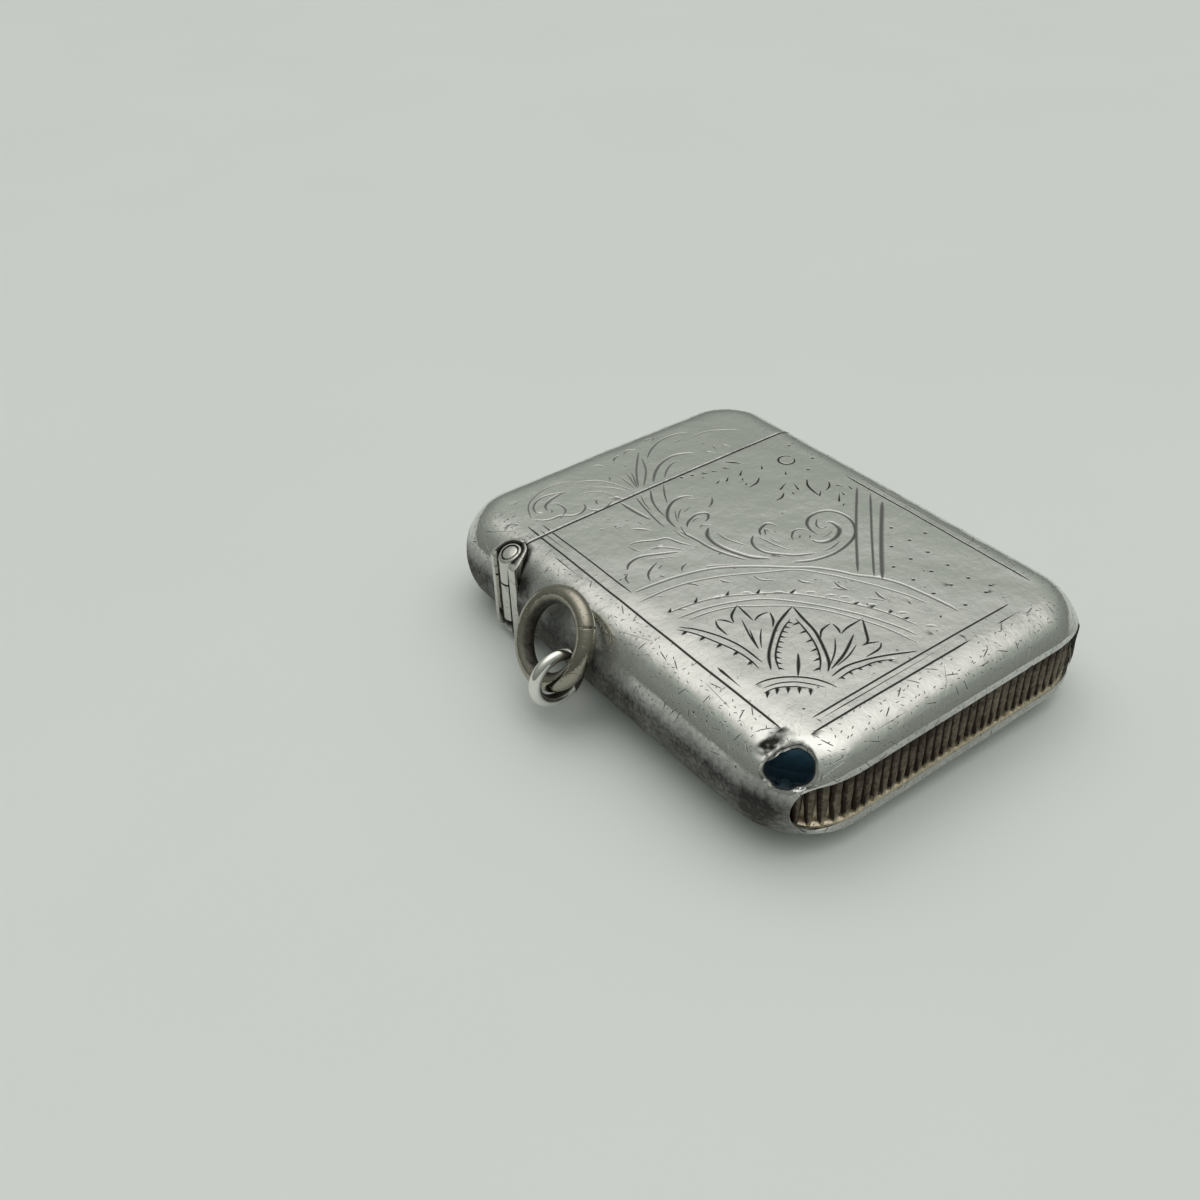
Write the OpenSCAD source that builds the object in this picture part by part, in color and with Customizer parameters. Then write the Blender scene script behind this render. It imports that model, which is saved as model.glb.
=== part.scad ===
// Silver vesta case: a pillow-shaped match safe with a hinged lid at one end and a striker at the other.
// It lies on its back: +Z is the engraved front, +Y the lid end, -X the hinge side.
// The origin is the middle of the flat back.

/* [Case] */
// Length of the closed case, striker end to lid end
case_length = 46; // [42:0.5:52]
// Width across the long sides
case_width = 34.4; // [31:0.2:40]
// Thickness from back to front
case_thickness = 9; // [8.6:0.1:10]
// Thickness of the silver sheet
wall = 0.5; // [0.4:0.05:0.6]
// Plan corner radius at the striker end
base_corner_r = 6.8; // [6:0.1:8]
// Plan corner radius at the lid end
lid_corner_r = 5.8; // [5:0.1:7]
// Distance from the side at which the flat face starts to roll over
roll_depth = 3.3; // [3.1:0.1:3.6]
// Radius of the shoulder between the flat face and the side
shoulder_r = 2.6; // [2.4:0.05:2.8]

/* [Lid] */
// Length of the lid along the case
lid_length = 10.2; // [9:0.1:13]
// Gap at the seam between lid and body
seam_gap = 0.16; // [0.1:0.02:0.3]
// Thickness of the collar inside the mouth
bezel_wall = 0.4; // [0.3:0.05:0.6]
// Gap between the collar and the sheet around it
bezel_clear = 0.15; // [0.12:0.01:0.25]
// How far the collar stands out of the body into the lid
bezel_rise = 1.6; // [1:0.1:2]
// How far the collar reaches down inside the body
bezel_depth = 3; // [2.8:0.1:4]

/* [Hinge] */
// Distance of the pin's axis in from the side of the case
pin_inset = 0.95; // [0.85:0.05:1.05]
// Radius of the hinge pin
pin_r = 0.7; // [0.6:0.02:0.74]
// Running clearance between the pin and the lid's knuckle
pin_clear = 0.03; // [0.02:0.01:0.06]
// Outside radius of the knuckles
knuckle_r = 1; // [0.9:0.02:1.1]
// Height of the joint between the lower and the middle knuckle
lower_joint_z = 1.9; // [1.7:0.1:2.2]
// Height of the joint between the middle and the upper knuckle
upper_joint_z = 5.8; // [5.6:0.1:6.4]
// End play between neighbouring knuckles
knuckle_gap = 0.05; // [0.03:0.01:0.1]
// Gap between a bearer and the knuckles that turn in it
bearer_clear = 0.1; // [0.08:0.01:0.15]
// Radius of the lid's bearer about the pin
lid_bearer_r = 2.2; // [2:0.1:2.8]
// Radius of the body's bearer about the pin
body_bearer_r = 2.3; // [2:0.1:2.8]
// Metal left behind the knuckles, towards the inside
bearer_back = 0.75; // [0.6:0.05:0.8]

/* [Striker] */
// Length of the slot across the end
slot_length = 31; // [26:0.2:31.4]
// Height of the slot
slot_height = 4.2; // [4:0.1:4.6]
// Height of the strip behind the slot
strip_height = 5.5; // [5.2:0.1:5.8]
// Thickness of the strip without its ribs
strip_wall = 0.6; // [0.4:0.05:0.8]
// Gap for solder between the strip and the sheet
strip_clear = 0.02; // [0.01:0.01:0.05]
// How far the ribs stand out of the strip
rib_rise = 0.45; // [0.35:0.05:0.6]
// Gap between the ends of the ribs and the slot's lips
rib_clear = 0.1; // [0.05:0.05:0.2]
// Pitch of the ribs
rib_pitch = 0.87; // [0.85:0.01:1.1]
// Width of a rib at its root
rib_width = 0.78; // [0.6:0.02:0.8]
// Angle that the strip turns round each corner
strip_turn = 62; // [50:1:66]
// Angle that the ribs reach round each corner
rib_turn = 56; // [40:1:60]

/* [Rings] */
// Distance of the fixed ring from the middle of the case, towards the lid
fixed_ring_y = 1.2; // [-1:0.1:2]
// Radius of the fixed ring at the middle of its wire
fixed_ring_r = 2.1; // [2:0.05:2.6]
// Radius of the fixed ring's wire
fixed_wire_r = 0.5; // [0.4:0.02:0.55]
// Radius of the solder that joins the fixed ring to the side
solder_r = 0.8; // [0.6:0.05:1]
// Radius of the carrying ring at the middle of its wire
carry_ring_r = 3.5; // [3.3:0.05:4]
// Radius of the carrying ring's wire
carry_wire_r = 0.78; // [0.65:0.01:0.8]
// Angle that the carrying ring leans over towards the case
carry_lean = 32; // [20:1:34]
// Angle that the carrying ring is turned up from the fixed ring's axis
carry_turn = 50; // [48:1:56]
// How far the carrying ring's wire sags off the fixed ring's axis
carry_sag = 0.35; // [0.3:0.01:0.4]

/* [Wear] */
// Radius of the hole that wear has opened in the striker-end corner on the hinge side
worn_hole_r = 1.7; // [1:0.1:1.8]
// Angle of the hole round the plan corner, from the long side
worn_turn = 36; // [30:1:45]
// Angle of the hole up the rolled edge
worn_rise = 27; // [24:1:30]

/* [Hidden] */
$fn = 64;
// Extra length by which a cutting shape passes the face that it cuts
overlap = 1;
half = case_thickness / 2;
side = case_width / 2;
end = case_length / 2;
seam_y = end - lid_length;
edge_gap = seam_gap / 2;
// The side of the roll is an arc that runs on smoothly from both shoulders
shoulder_z = half - shoulder_r;
side_r = (pow(roll_depth, 2) + pow(shoulder_z, 2) - pow(shoulder_r, 2)) / (2 * (roll_depth - shoulder_r));
side_angle = atan2(shoulder_z, side_r - roll_depth);
side_reach = 2 * side_r;
base_y = base_corner_r - end;
lid_y = end - lid_corner_r;
base_x = side - base_corner_r;
lid_x = side - lid_corner_r;
// Each corner: centre, radius and the angle at which its quarter turn starts
corners = [
    [[base_x, base_y], base_corner_r, 270],
    [[lid_x, lid_y], lid_corner_r, 0],
    [[-lid_x, lid_y], lid_corner_r, 90],
    [[-base_x, base_y], base_corner_r, 180]
];
pin_x = pin_inset - side;
turning_r = knuckle_r + bearer_clear;
bearer_x = knuckle_r + bearer_back;
bezel_inset = wall + bezel_clear;
bezel_open_x = pin_x + bearer_x + bearer_clear;
slot_r = slot_height / 2;
slot_half = slot_length / 2 - slot_r;
// The strip lies against the inside of the roll along its upper and lower edges
strip_inset = wall + inner_set_back(strip_height / 2) + strip_clear;
strip_y = strip_inset - end;
strip_r = base_corner_r - strip_inset;
rib_height = slot_height - 2 * rib_clear;
rib_count = floor(base_x / rib_pitch);
rib_step = base_x / rib_count;
rib_angle = rib_step / strip_r * 180 / PI;
rib_corner_count = floor(rib_turn / rib_angle);
fixed_ring_at = [-side - fixed_ring_r - fixed_wire_r, fixed_ring_y, half];
silver = "silver";
bright = "whitesmoke";
dull = "darkgray";
dark = "dimgray";

// How far the inside of the roll lies behind the sheet's inner face at a height off the mid-plane
function inner_set_back(z) = (side_r - wall) - sqrt(pow(side_r - wall, 2) - pow(z, 2));

// Section of the rolled edge: X runs out to the side at 0, Y is the height off the mid-plane
module roll_section(inset) {
    intersection() {
        translate([-roll_depth, -half])
            square([roll_depth, case_thickness]);
        union() {
            for (turn = [-1, 1])
                translate([-roll_depth, turn * shoulder_z])
                    circle(shoulder_r - inset);
            intersection() {
                translate([-side_r, 0])
                    circle(side_r - inset);
                translate([-side_r, 0])
                    polygon([
                        [0, 0],
                        [side_reach * cos(side_angle), -side_reach * sin(side_angle)],
                        [side_reach * cos(side_angle), side_reach * sin(side_angle)]
                    ]);
            }
        }
    }
}

// Plan of the flat part of the faces
module flat_plan() {
    polygon([
        [-base_x, roll_depth - end],
        [base_x, roll_depth - end],
        [side - roll_depth, base_y],
        [side - roll_depth, lid_y],
        [lid_x, end - roll_depth],
        [-lid_x, end - roll_depth],
        [roll_depth - side, lid_y],
        [roll_depth - side, base_y]
    ]);
    for (corner = corners)
        translate(corner[0])
            circle(corner[1] - roll_depth);
}

// Straight length of rolled edge from one plan point to another, with the outside on the right
module straight_roll(from, to, inset) {
    run = to - from;
    translate([from[0], from[1], 0])
        rotate([90, 0, atan2(run[1], run[0]) + 90])
            linear_extrude(norm(run))
                mirror([1, 0, 0])
                    roll_section(inset);
}

// The whole pillow, or its hollow where inset is the sheet's thickness
module pillow(inset) {
    translate([0, 0, half]) {
        linear_extrude(case_thickness - 2 * inset, center = true)
            flat_plan();
        straight_roll([-base_x, -end], [base_x, -end], inset);
        straight_roll([side, base_y], [side, lid_y], inset);
        straight_roll([lid_x, end], [-lid_x, end], inset);
        straight_roll([-side, lid_y], [-side, base_y], inset);
        for (corner = corners)
            translate([corner[0][0], corner[0][1], 0])
                rotate([0, 0, corner[2]])
                    rotate_extrude(angle = 90)
                        translate([corner[1], 0])
                            roll_section(inset);
    }
}

// The hollow pillow on one side of the seam and on one side of the mid-plane
module shell(is_lid, is_front) {
    low_y = is_lid ? seam_y + edge_gap : -end - overlap;
    high_y = is_lid ? end + overlap : seam_y - edge_gap;
    low_z = is_front ? half : -overlap;
    intersection() {
        difference() {
            pillow(0);
            pillow(wall);
        }
        translate([-side - overlap, low_y, low_z])
            cube([case_width + 2 * overlap, high_y - low_y, half + overlap]);
    }
}

// Half of a round boss about the pin, on the lid's side of the seam and cut off behind the knuckles
module boss_section(radius) {
    intersection() {
        circle(radius);
        translate([-radius, 0])
            square([radius + bearer_x, radius]);
    }
}

// Room in the sheet for the bearers and knuckles
module hinge_notch() {
    translate([pin_x, seam_y, -overlap])
        linear_extrude(case_thickness + 2 * overlap) {
            boss_section(lid_bearer_r);
            mirror([0, 1])
                boss_section(body_bearer_r);
        }
}

// Both ends of the hinge are dressed to one round, which runs into the faces behind the knuckles
module hinge_round() {
    translate([pin_x + bearer_x, seam_y, half])
        rotate([90, 0, 0])
            cylinder(h = 2 * (lid_bearer_r + body_bearer_r), r = half, center = true);
}

// Oblong slot through the end, with round ends
module striker_slot() {
    translate([0, base_y, half])
        rotate([90, 0, 0]) {
            translate([-slot_half, -slot_r, 0])
                cube([2 * slot_half, slot_height, base_corner_r + overlap]);
            for (turn = [-1, 1])
                translate([turn * slot_half, 0, 0])
                    cylinder(h = base_corner_r + overlap, r = slot_r);
        }
}

// Hole worn through the corner, square to the shoulder
module worn_hole() {
    translate([-base_x, base_y, half + shoulder_z])
        rotate([0, 0, 180 + worn_turn])
            translate([base_corner_r - roll_depth, 0, 0])
                rotate([0, 90 - worn_rise, 0])
                    cylinder(h = shoulder_r + overlap, r = worn_hole_r);
}

module body_front() {
    color(silver)
        difference() {
            shell(false, true);
            hinge_notch();
            striker_slot();
            worn_hole();
        }
}

module body_back() {
    color(silver)
        difference() {
            shell(false, false);
            hinge_notch();
            striker_slot();
        }
}

module lid_front() {
    color(silver)
        difference() {
            shell(true, true);
            hinge_notch();
        }
}

module lid_back() {
    color(silver)
        difference() {
            shell(true, false);
            hinge_notch();
        }
}

// Section square across the case, between its two rolled sides
module case_section(inset) {
    square([2 * (side - roll_depth), case_thickness - 2 * inset], center = true);
    translate([side, 0])
        roll_section(inset);
    mirror([1, 0])
        translate([side, 0])
            roll_section(inset);
}

// Collar that stands out of the mouth, open where the hinge is
module mouth_bezel() {
    color(silver)
        difference() {
            translate([0, seam_y + bezel_rise, half])
                rotate([90, 0, 0])
                    linear_extrude(bezel_rise + bezel_depth)
                        difference() {
                            case_section(bezel_inset);
                            case_section(bezel_inset + bezel_wall);
                        }
            translate([-side - overlap, seam_y - bezel_depth - overlap, 0])
                cube([
                    bezel_open_x + side + overlap,
                    bezel_rise + bezel_depth + 2 * overlap,
                    case_thickness
                ]);
        }
}

// One rib: a ridge that points out of the strip and is rooted in it
module rib() {
    linear_extrude(rib_height, center = true)
        polygon([
            [-rib_width / 2, strip_wall / 2],
            [rib_width / 2, strip_wall / 2],
            [rib_width / 2, 0],
            [0, -rib_rise],
            [-rib_width / 2, 0]
        ]);
}

// Ribbed strip across the end and round both corners
module striker_strip() {
    color(dark)
        translate([0, 0, half]) {
            translate([-base_x, strip_y, -strip_height / 2])
                cube([2 * base_x, strip_wall, strip_height]);
            for (turn = [0, 1])
                mirror([turn, 0, 0])
                    translate([base_x, base_y, 0]) {
                        rotate([0, 0, -90])
                            rotate_extrude(angle = strip_turn)
                                translate([strip_r - strip_wall, -strip_height / 2])
                                    square([strip_wall, strip_height]);
                        for (step = [1 : rib_corner_count])
                            rotate([0, 0, (step - 0.5) * rib_angle])
                                translate([0, -strip_r, 0])
                                    rib();
                    }
            for (step = [1 : 2 * rib_count])
                translate([(step - 0.5) * rib_step - base_x, strip_y, 0])
                    rib();
        }
}

// Section of a bearer on the lid's side of the pin: it backs the knuckles and stops beside them
module bearer_section(radius) {
    intersection() {
        boss_section(radius);
        union() {
            translate([0, edge_gap])
                square([bearer_x, radius]);
            translate([-knuckle_r, turning_r])
                square([knuckle_r + bearer_x, radius]);
        }
    }
}

// Upright cylinder on the pin's axis between two heights
module on_pin(radius, low, high) {
    translate([pin_x, seam_y, low])
        cylinder(h = high - low, r = radius);
}

module lid_bearer() {
    color(silver)
        difference() {
            intersection() {
                translate([pin_x, seam_y, 0])
                    linear_extrude(case_thickness)
                        bearer_section(lid_bearer_r);
                hinge_round();
            }
            on_pin(knuckle_r, -overlap, case_thickness + overlap);
            on_pin(turning_r, -overlap, lower_joint_z);
            on_pin(turning_r, upper_joint_z, case_thickness + overlap);
        }
}

module body_bearer() {
    color(silver)
        difference() {
            intersection() {
                translate([pin_x, seam_y, 0])
                    linear_extrude(case_thickness)
                        mirror([0, 1])
                            bearer_section(body_bearer_r);
                hinge_round();
            }
            on_pin(knuckle_r, -overlap, case_thickness + overlap);
            on_pin(turning_r, lower_joint_z, upper_joint_z);
        }
}

// One tube of the hinge
module knuckle(low, high, bore_r) {
    difference() {
        intersection() {
            on_pin(knuckle_r, low, high);
            hinge_round();
        }
        on_pin(bore_r, low - overlap, high + overlap);
    }
}

module body_knuckle_upper() {
    color(bright)
        knuckle(upper_joint_z + knuckle_gap / 2, case_thickness, pin_r);
}

module body_knuckle_lower() {
    color(bright)
        knuckle(0, lower_joint_z - knuckle_gap / 2, pin_r);
}

module lid_knuckle() {
    color(bright)
        knuckle(lower_joint_z + knuckle_gap / 2, upper_joint_z - knuckle_gap / 2, pin_r + pin_clear);
}

module hinge_pin() {
    color(dull)
        intersection() {
            on_pin(pin_r, 0, case_thickness);
            hinge_round();
        }
}

// Ring of round wire about the Z axis
module wire_ring(ring_r, wire_r) {
    rotate_extrude()
        translate([ring_r, 0])
            circle(wire_r);
}

// Small ring that stands out of the side, with its foot of solder shaped to the roll
module fixed_ring() {
    color(bright)
        difference() {
            union() {
                translate(fixed_ring_at)
                    rotate([90, 0, 0])
                        wire_ring(fixed_ring_r, fixed_wire_r);
                translate([-side - fixed_wire_r, fixed_ring_y, half])
                    rotate([0, 90, 0])
                        cylinder(h = wall + fixed_wire_r, r1 = fixed_wire_r, r2 = solder_r);
            }
            pillow(0);
        }
}

// Large loose ring: it hangs in the fixed ring and leans on the case
module carrying_ring() {
    color(dull)
        translate(fixed_ring_at)
            rotate([0, carry_lean, 0])
                rotate([carry_turn, 0, 0])
                    translate([0, carry_ring_r - carry_sag, 0])
                        rotate([0, 90, 0])
                            wire_ring(carry_ring_r, carry_wire_r);
}

body_front();
body_back();
mouth_bezel();
striker_strip();
body_bearer();
body_knuckle_upper();
body_knuckle_lower();
hinge_pin();
fixed_ring();
lid_front();
lid_back();
lid_bearer();
lid_knuckle();
carrying_ring();
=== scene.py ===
# %% [markdown]
# # A worn silver match case
# The object is a pocket case for wax matches: two silver stampings soldered into a pillow-shaped
# box, a short hinged lid, an engraved front, a ribbed striker in the end and a carrying ring.
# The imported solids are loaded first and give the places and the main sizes. This lesson then
# dresses them.

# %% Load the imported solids
import math
from contextlib import contextmanager

import bmesh
import bpy
import numpy as np
from mathutils import Matrix, Vector, noise
from mathutils.geometry import delaunay_2d_cdt, tessellate_polygon


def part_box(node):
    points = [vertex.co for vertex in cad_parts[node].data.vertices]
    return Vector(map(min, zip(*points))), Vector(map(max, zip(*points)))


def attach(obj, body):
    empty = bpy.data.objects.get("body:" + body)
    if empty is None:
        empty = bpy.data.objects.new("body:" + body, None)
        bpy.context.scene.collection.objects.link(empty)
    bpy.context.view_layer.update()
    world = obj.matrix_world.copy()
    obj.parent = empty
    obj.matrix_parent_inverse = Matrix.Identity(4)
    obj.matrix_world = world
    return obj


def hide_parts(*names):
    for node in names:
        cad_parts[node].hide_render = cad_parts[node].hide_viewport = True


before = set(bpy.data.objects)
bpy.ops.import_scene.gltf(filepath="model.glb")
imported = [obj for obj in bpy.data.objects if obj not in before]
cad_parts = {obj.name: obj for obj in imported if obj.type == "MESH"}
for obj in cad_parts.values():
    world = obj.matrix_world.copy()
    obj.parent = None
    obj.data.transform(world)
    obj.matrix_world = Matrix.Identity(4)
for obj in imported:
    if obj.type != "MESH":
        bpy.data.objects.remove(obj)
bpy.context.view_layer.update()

scene = bpy.context.scene
MM = 0.001
print("solids:", len(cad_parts))

# %% [markdown]
# ## Sizes
# All lengths are written in millimetres, as on a bench drawing, and become metres only when a
# mesh is made. The outer size and the place of the hinge are read from the solids. The others
# repeat the solids' own sizes. The case lies on its back with the lid at +Y.

# %% Sizes of the case
lid_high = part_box("lid_front")[1] / MM
SIDE, END, HALF = round(lid_high.x, 3), round(lid_high.y, 3), round(lid_high.z / 2, 3)
WALL = 0.5
BASE_R, LID_R = 6.8, 5.8
BASE_X, BASE_Y = SIDE - BASE_R, BASE_R - END
LID_X, LID_Y = SIDE - LID_R, END - LID_R
ROLL, SHOULDER_R = 3.3, 2.6
SHOULDER_Z = HALF - SHOULDER_R
SIDE_R = (ROLL ** 2 + SHOULDER_Z ** 2 - SHOULDER_R ** 2) / (2 * (ROLL - SHOULDER_R))
SIDE_ANGLE = math.degrees(math.atan2(SHOULDER_Z, SIDE_R - ROLL))
FLAT_X, FLAT_Y = round(SIDE - ROLL, 3), round(END - ROLL, 3)
pin_low, pin_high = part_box("hinge_pin")
PIN = tuple(round(v, 2) for v in ((pin_low + pin_high) / 2 / MM).xy)
SEAM_Y, SEAM_GAP, SEAM_EDGE = PIN[1], 0.16, 0.12
print("half width, half length and half thickness:", SIDE, END, HALF, "pin at", PIN)
print("side arc", round(SIDE_R, 3), "mm, shoulder starts at", round(SIDE_ANGLE, 1), "degrees")

# %% [markdown]
# ## Small helpers
# Colours are written as sRGB hex, the way a picture shows them, and one function turns them to
# the linear values that shaders use. Another adds a node, sets it and links it, so that a whole
# material reads as a short list. The third empties a node tree before it is filled.

# %% Colour and node helpers
def linear(code):
    """Linear RGBA of an sRGB hex colour."""
    parts = [int(code[i:i + 2], 16) / 255 for i in (1, 3, 5)]
    return (*(c / 12.92 if c <= 0.04045 else ((c + 0.055) / 1.055) ** 2.4 for c in parts), 1.0)


def add(tree, kind, sockets=None, **settings):
    """Add a node with its settings; sockets take a value, a socket or a node's first output."""
    node = tree.nodes.new(kind)
    for key, value in settings.items():
        setattr(node, key, value)
    for key, value in (sockets or {}).items():
        if isinstance(value, bpy.types.Node):
            value = next(output for output in value.outputs if output.enabled)
        if isinstance(value, bpy.types.NodeSocket):
            tree.links.new(value, node.inputs[key])
        else:
            node.inputs[key].default_value = value
    return node


def empty_tree(owner):
    """Node tree of a material or a world, with nothing in it."""
    owner.use_nodes = True
    owner.node_tree.nodes.clear()
    return owner.node_tree


print("middle grey is", round(linear("#808080")[0], 3), "in linear light")

# %% [markdown]
# ## Camera
# The photograph was taken from the front left and above, with a slight tilt of the camera. A fit to
# the outline of the case gave the place, the three axes and the focal length used here.

# %% Camera at the photograph's view
VIEW_TURN, VIEW_RISE, CAMERA_TILT = (math.radians(v) for v in (-35.065, 37.063, -2.36))
VIEW_AIM, VIEW_DISTANCE = Vector((-7.795, 12.057, 0)), 115.517
SENSOR, PHOTO_PIXELS, FOCAL_PIXELS = 36, 1200, 1282.07
level_part = math.cos(VIEW_RISE)
back = Vector((
    level_part * math.sin(VIEW_TURN), -level_part * math.cos(VIEW_TURN), math.sin(VIEW_RISE)))
right = Vector((math.cos(VIEW_TURN), math.sin(VIEW_TURN), 0))
up = back.cross(right)
across = math.cos(CAMERA_TILT) * right + math.sin(CAMERA_TILT) * up
upright = math.cos(CAMERA_TILT) * up - math.sin(CAMERA_TILT) * right
camera_data = bpy.data.cameras.new("camera")
camera_data.sensor_fit = "HORIZONTAL"
camera_data.sensor_width = SENSOR
camera_data.lens = SENSOR * FOCAL_PIXELS / PHOTO_PIXELS
camera_data.clip_start = 5 * MM
camera = bpy.data.objects.new("camera", camera_data)
scene.collection.objects.link(camera)
place = VIEW_AIM + VIEW_DISTANCE * back
axes = Matrix((across, upright, back)).transposed().to_4x4()
camera.matrix_world = Matrix.Translation(place * MM) @ axes
scene.camera = camera
scene.view_settings.view_transform = "Standard"
print("camera at", [round(v, 1) for v in place], "mm, lens", round(camera_data.lens, 2), "mm")

# %% [markdown]
# ## Light and table
# Silver is a mirror, so its look is the look of the room. The room here is one broad soft light
# overhead, leaning a little to the back right, that fades to dim walls. The face throws the view
# low to the back and stays grey, while the shoulders of the rolls throw it up to the light and turn
# white. The same light gives the pale table its soft contact shadow.

# %% Sky gradient and table
LIGHT_SIDE, LIGHT_STRENGTH = Vector((0.16, 0.13, 0.98)).normalized(), 1.75
ROOM_TONES = [
    (0.0, "#6a6d6a"), (0.5, "#5c5e59"), (0.74, "#727671"), (0.85, "#8d918b"),
    (0.885, "#a5a6a2"), (0.94, "#cfcdc9"), (0.98, "#e9e8e4"), (1.0, "#edece9"),
]
TABLE_HALF = 1500
scene.world = bpy.data.worlds.new("soft_room")
sky = empty_tree(scene.world)
ray = add(sky, "ShaderNodeTexCoord").outputs["Generated"]
facing = add(sky, "ShaderNodeVectorMath", {0: ray, 1: LIGHT_SIDE}, operation="DOT_PRODUCT")
level = add(sky, "ShaderNodeMapRange", {"Value": facing, "From Min": -1.0, "From Max": 1.0})
room = add(sky, "ShaderNodeValToRGB", {"Fac": level})
while len(room.color_ramp.elements) < len(ROOM_TONES):
    room.color_ramp.elements.new(0.5)
for element, (spot, code) in zip(room.color_ramp.elements, ROOM_TONES):
    element.position = spot
    element.color = linear(code)
shine = add(sky, "ShaderNodeBackground", {"Color": room, "Strength": LIGHT_STRENGTH})
add(sky, "ShaderNodeOutputWorld", {"Surface": shine})

# Laminate with a matt press: nearly white, with a faint cloud and no clear reflection.
table_paint = bpy.data.materials.new("matt_white_laminate")
tree = empty_tree(table_paint)
coord = add(tree, "ShaderNodeTexCoord").outputs["Object"]
cloud = add(tree, "ShaderNodeTexNoise", {"Vector": coord, "Scale": 30.0, "Detail": 3.0})
tones = {"Factor": cloud, "A": linear("#edf2f1"), "B": linear("#f3f7f6")}
tone = add(tree, "ShaderNodeMix", tones, data_type="RGBA")
surface = add(tree, "ShaderNodeBsdfPrincipled", {"Base Color": tone, "Roughness": 0.55})
add(tree, "ShaderNodeOutputMaterial", {"Surface": surface})
table_mesh = bpy.data.meshes.new("table")
reach = TABLE_HALF * MM
table_corners = [(-reach, -reach, 0), (reach, -reach, 0), (reach, reach, 0), (-reach, reach, 0)]
table_mesh.from_pydata(table_corners, [], [(0, 1, 2, 3)])
table_mesh.materials.append(table_paint)
table = bpy.data.objects.new("table", table_mesh)
scene.collection.objects.link(table)
print("room tones:", len(ROOM_TONES))

# %% [markdown]
# ## Old polished silver
# Sterling silver that has been carried for a century: a high, slightly warm polish, broken by short
# nicks in every direction, small pits, and brown-grey tarnish where a cloth does not reach. Every
# piece made here carries three things on its points: "cut" marks the dirt in an engraved line and
# the painted shade on the wall of a cut that looks away from the light, the stain number marks dirt
# elsewhere with painted shade and dark reflection in places, and "lay" is its place unrolled to a
# flat sheet, in millimetres, with how much it is handled as a third number. A nick is a short dash
# turned at random in each cell of a cell pattern on that sheet. Real nicks are about 0.05 mm wide
# and are drawn 0.07 to 0.10 mm wide, so that they still show at this distance.

# %% Nicks of the silver
# Cell size, half length, half width, share of the cells that hold one, and strength.
NICKS = [
    (2.1, 0.62, 0.052, 0.8, 1.0), (0.62, 0.17, 0.038, 0.55, 1.0), (4.6, 1.9, 0.034, 0.55, 0.45),
]


def nick_marks(tree, lay):
    """Node that is 1 in a nick and 0 beside it."""
    marks = 0.0
    for cell, reach, width, share, strength in NICKS:
        cells = add(tree, "ShaderNodeTexVoronoi", {"Vector": lay, "Scale": 1 / cell},
                    voronoi_dimensions="2D").outputs
        pick = add(tree, "ShaderNodeSeparateColor", {"Color": cells["Color"]}).outputs
        off = add(tree, "ShaderNodeVectorMath", {0: lay, 1: cells["Position"]},
                  operation="SUBTRACT")
        angle = add(tree, "ShaderNodeMath", {0: pick["Red"], 1: math.tau}, operation="MULTIPLY")
        spun = add(tree, "ShaderNodeVectorRotate", {"Vector": off, "Angle": angle},
                   rotation_type="Z_AXIS")
        size = add(tree, "ShaderNodeVectorMath", {0: spun}, operation="ABSOLUTE")
        size = add(tree, "ShaderNodeSeparateXYZ", {"Vector": size}).outputs
        along = add(tree, "ShaderNodeMapRange",
                    {"Value": size["X"], "From Min": reach, "From Max": reach * 0.5})
        side = add(tree, "ShaderNodeMapRange",
                   {"Value": size["Y"], "From Min": width, "From Max": width * 0.4})
        kept = add(tree, "ShaderNodeMath", {0: pick["Green"], 1: share}, operation="LESS_THAN")
        dash = along
        for factor in (side, kept, strength):
            dash = add(tree, "ShaderNodeMath", {0: dash, 1: factor}, operation="MULTIPLY")
        marks = add(tree, "ShaderNodeMath", {0: marks, 1: dash}, operation="MAXIMUM")
    return marks


print("sets of nicks:", len(NICKS))

# %% Silver material
CLOUD, DENT, SPECK, PIT_CELL, BUMP_HIGH = 5, 1.1, 0.35, 1.1, 0.05
MIDDLE = {"From Min": 0.3, "From Max": 0.7}  # where most values of a noise lie


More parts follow.
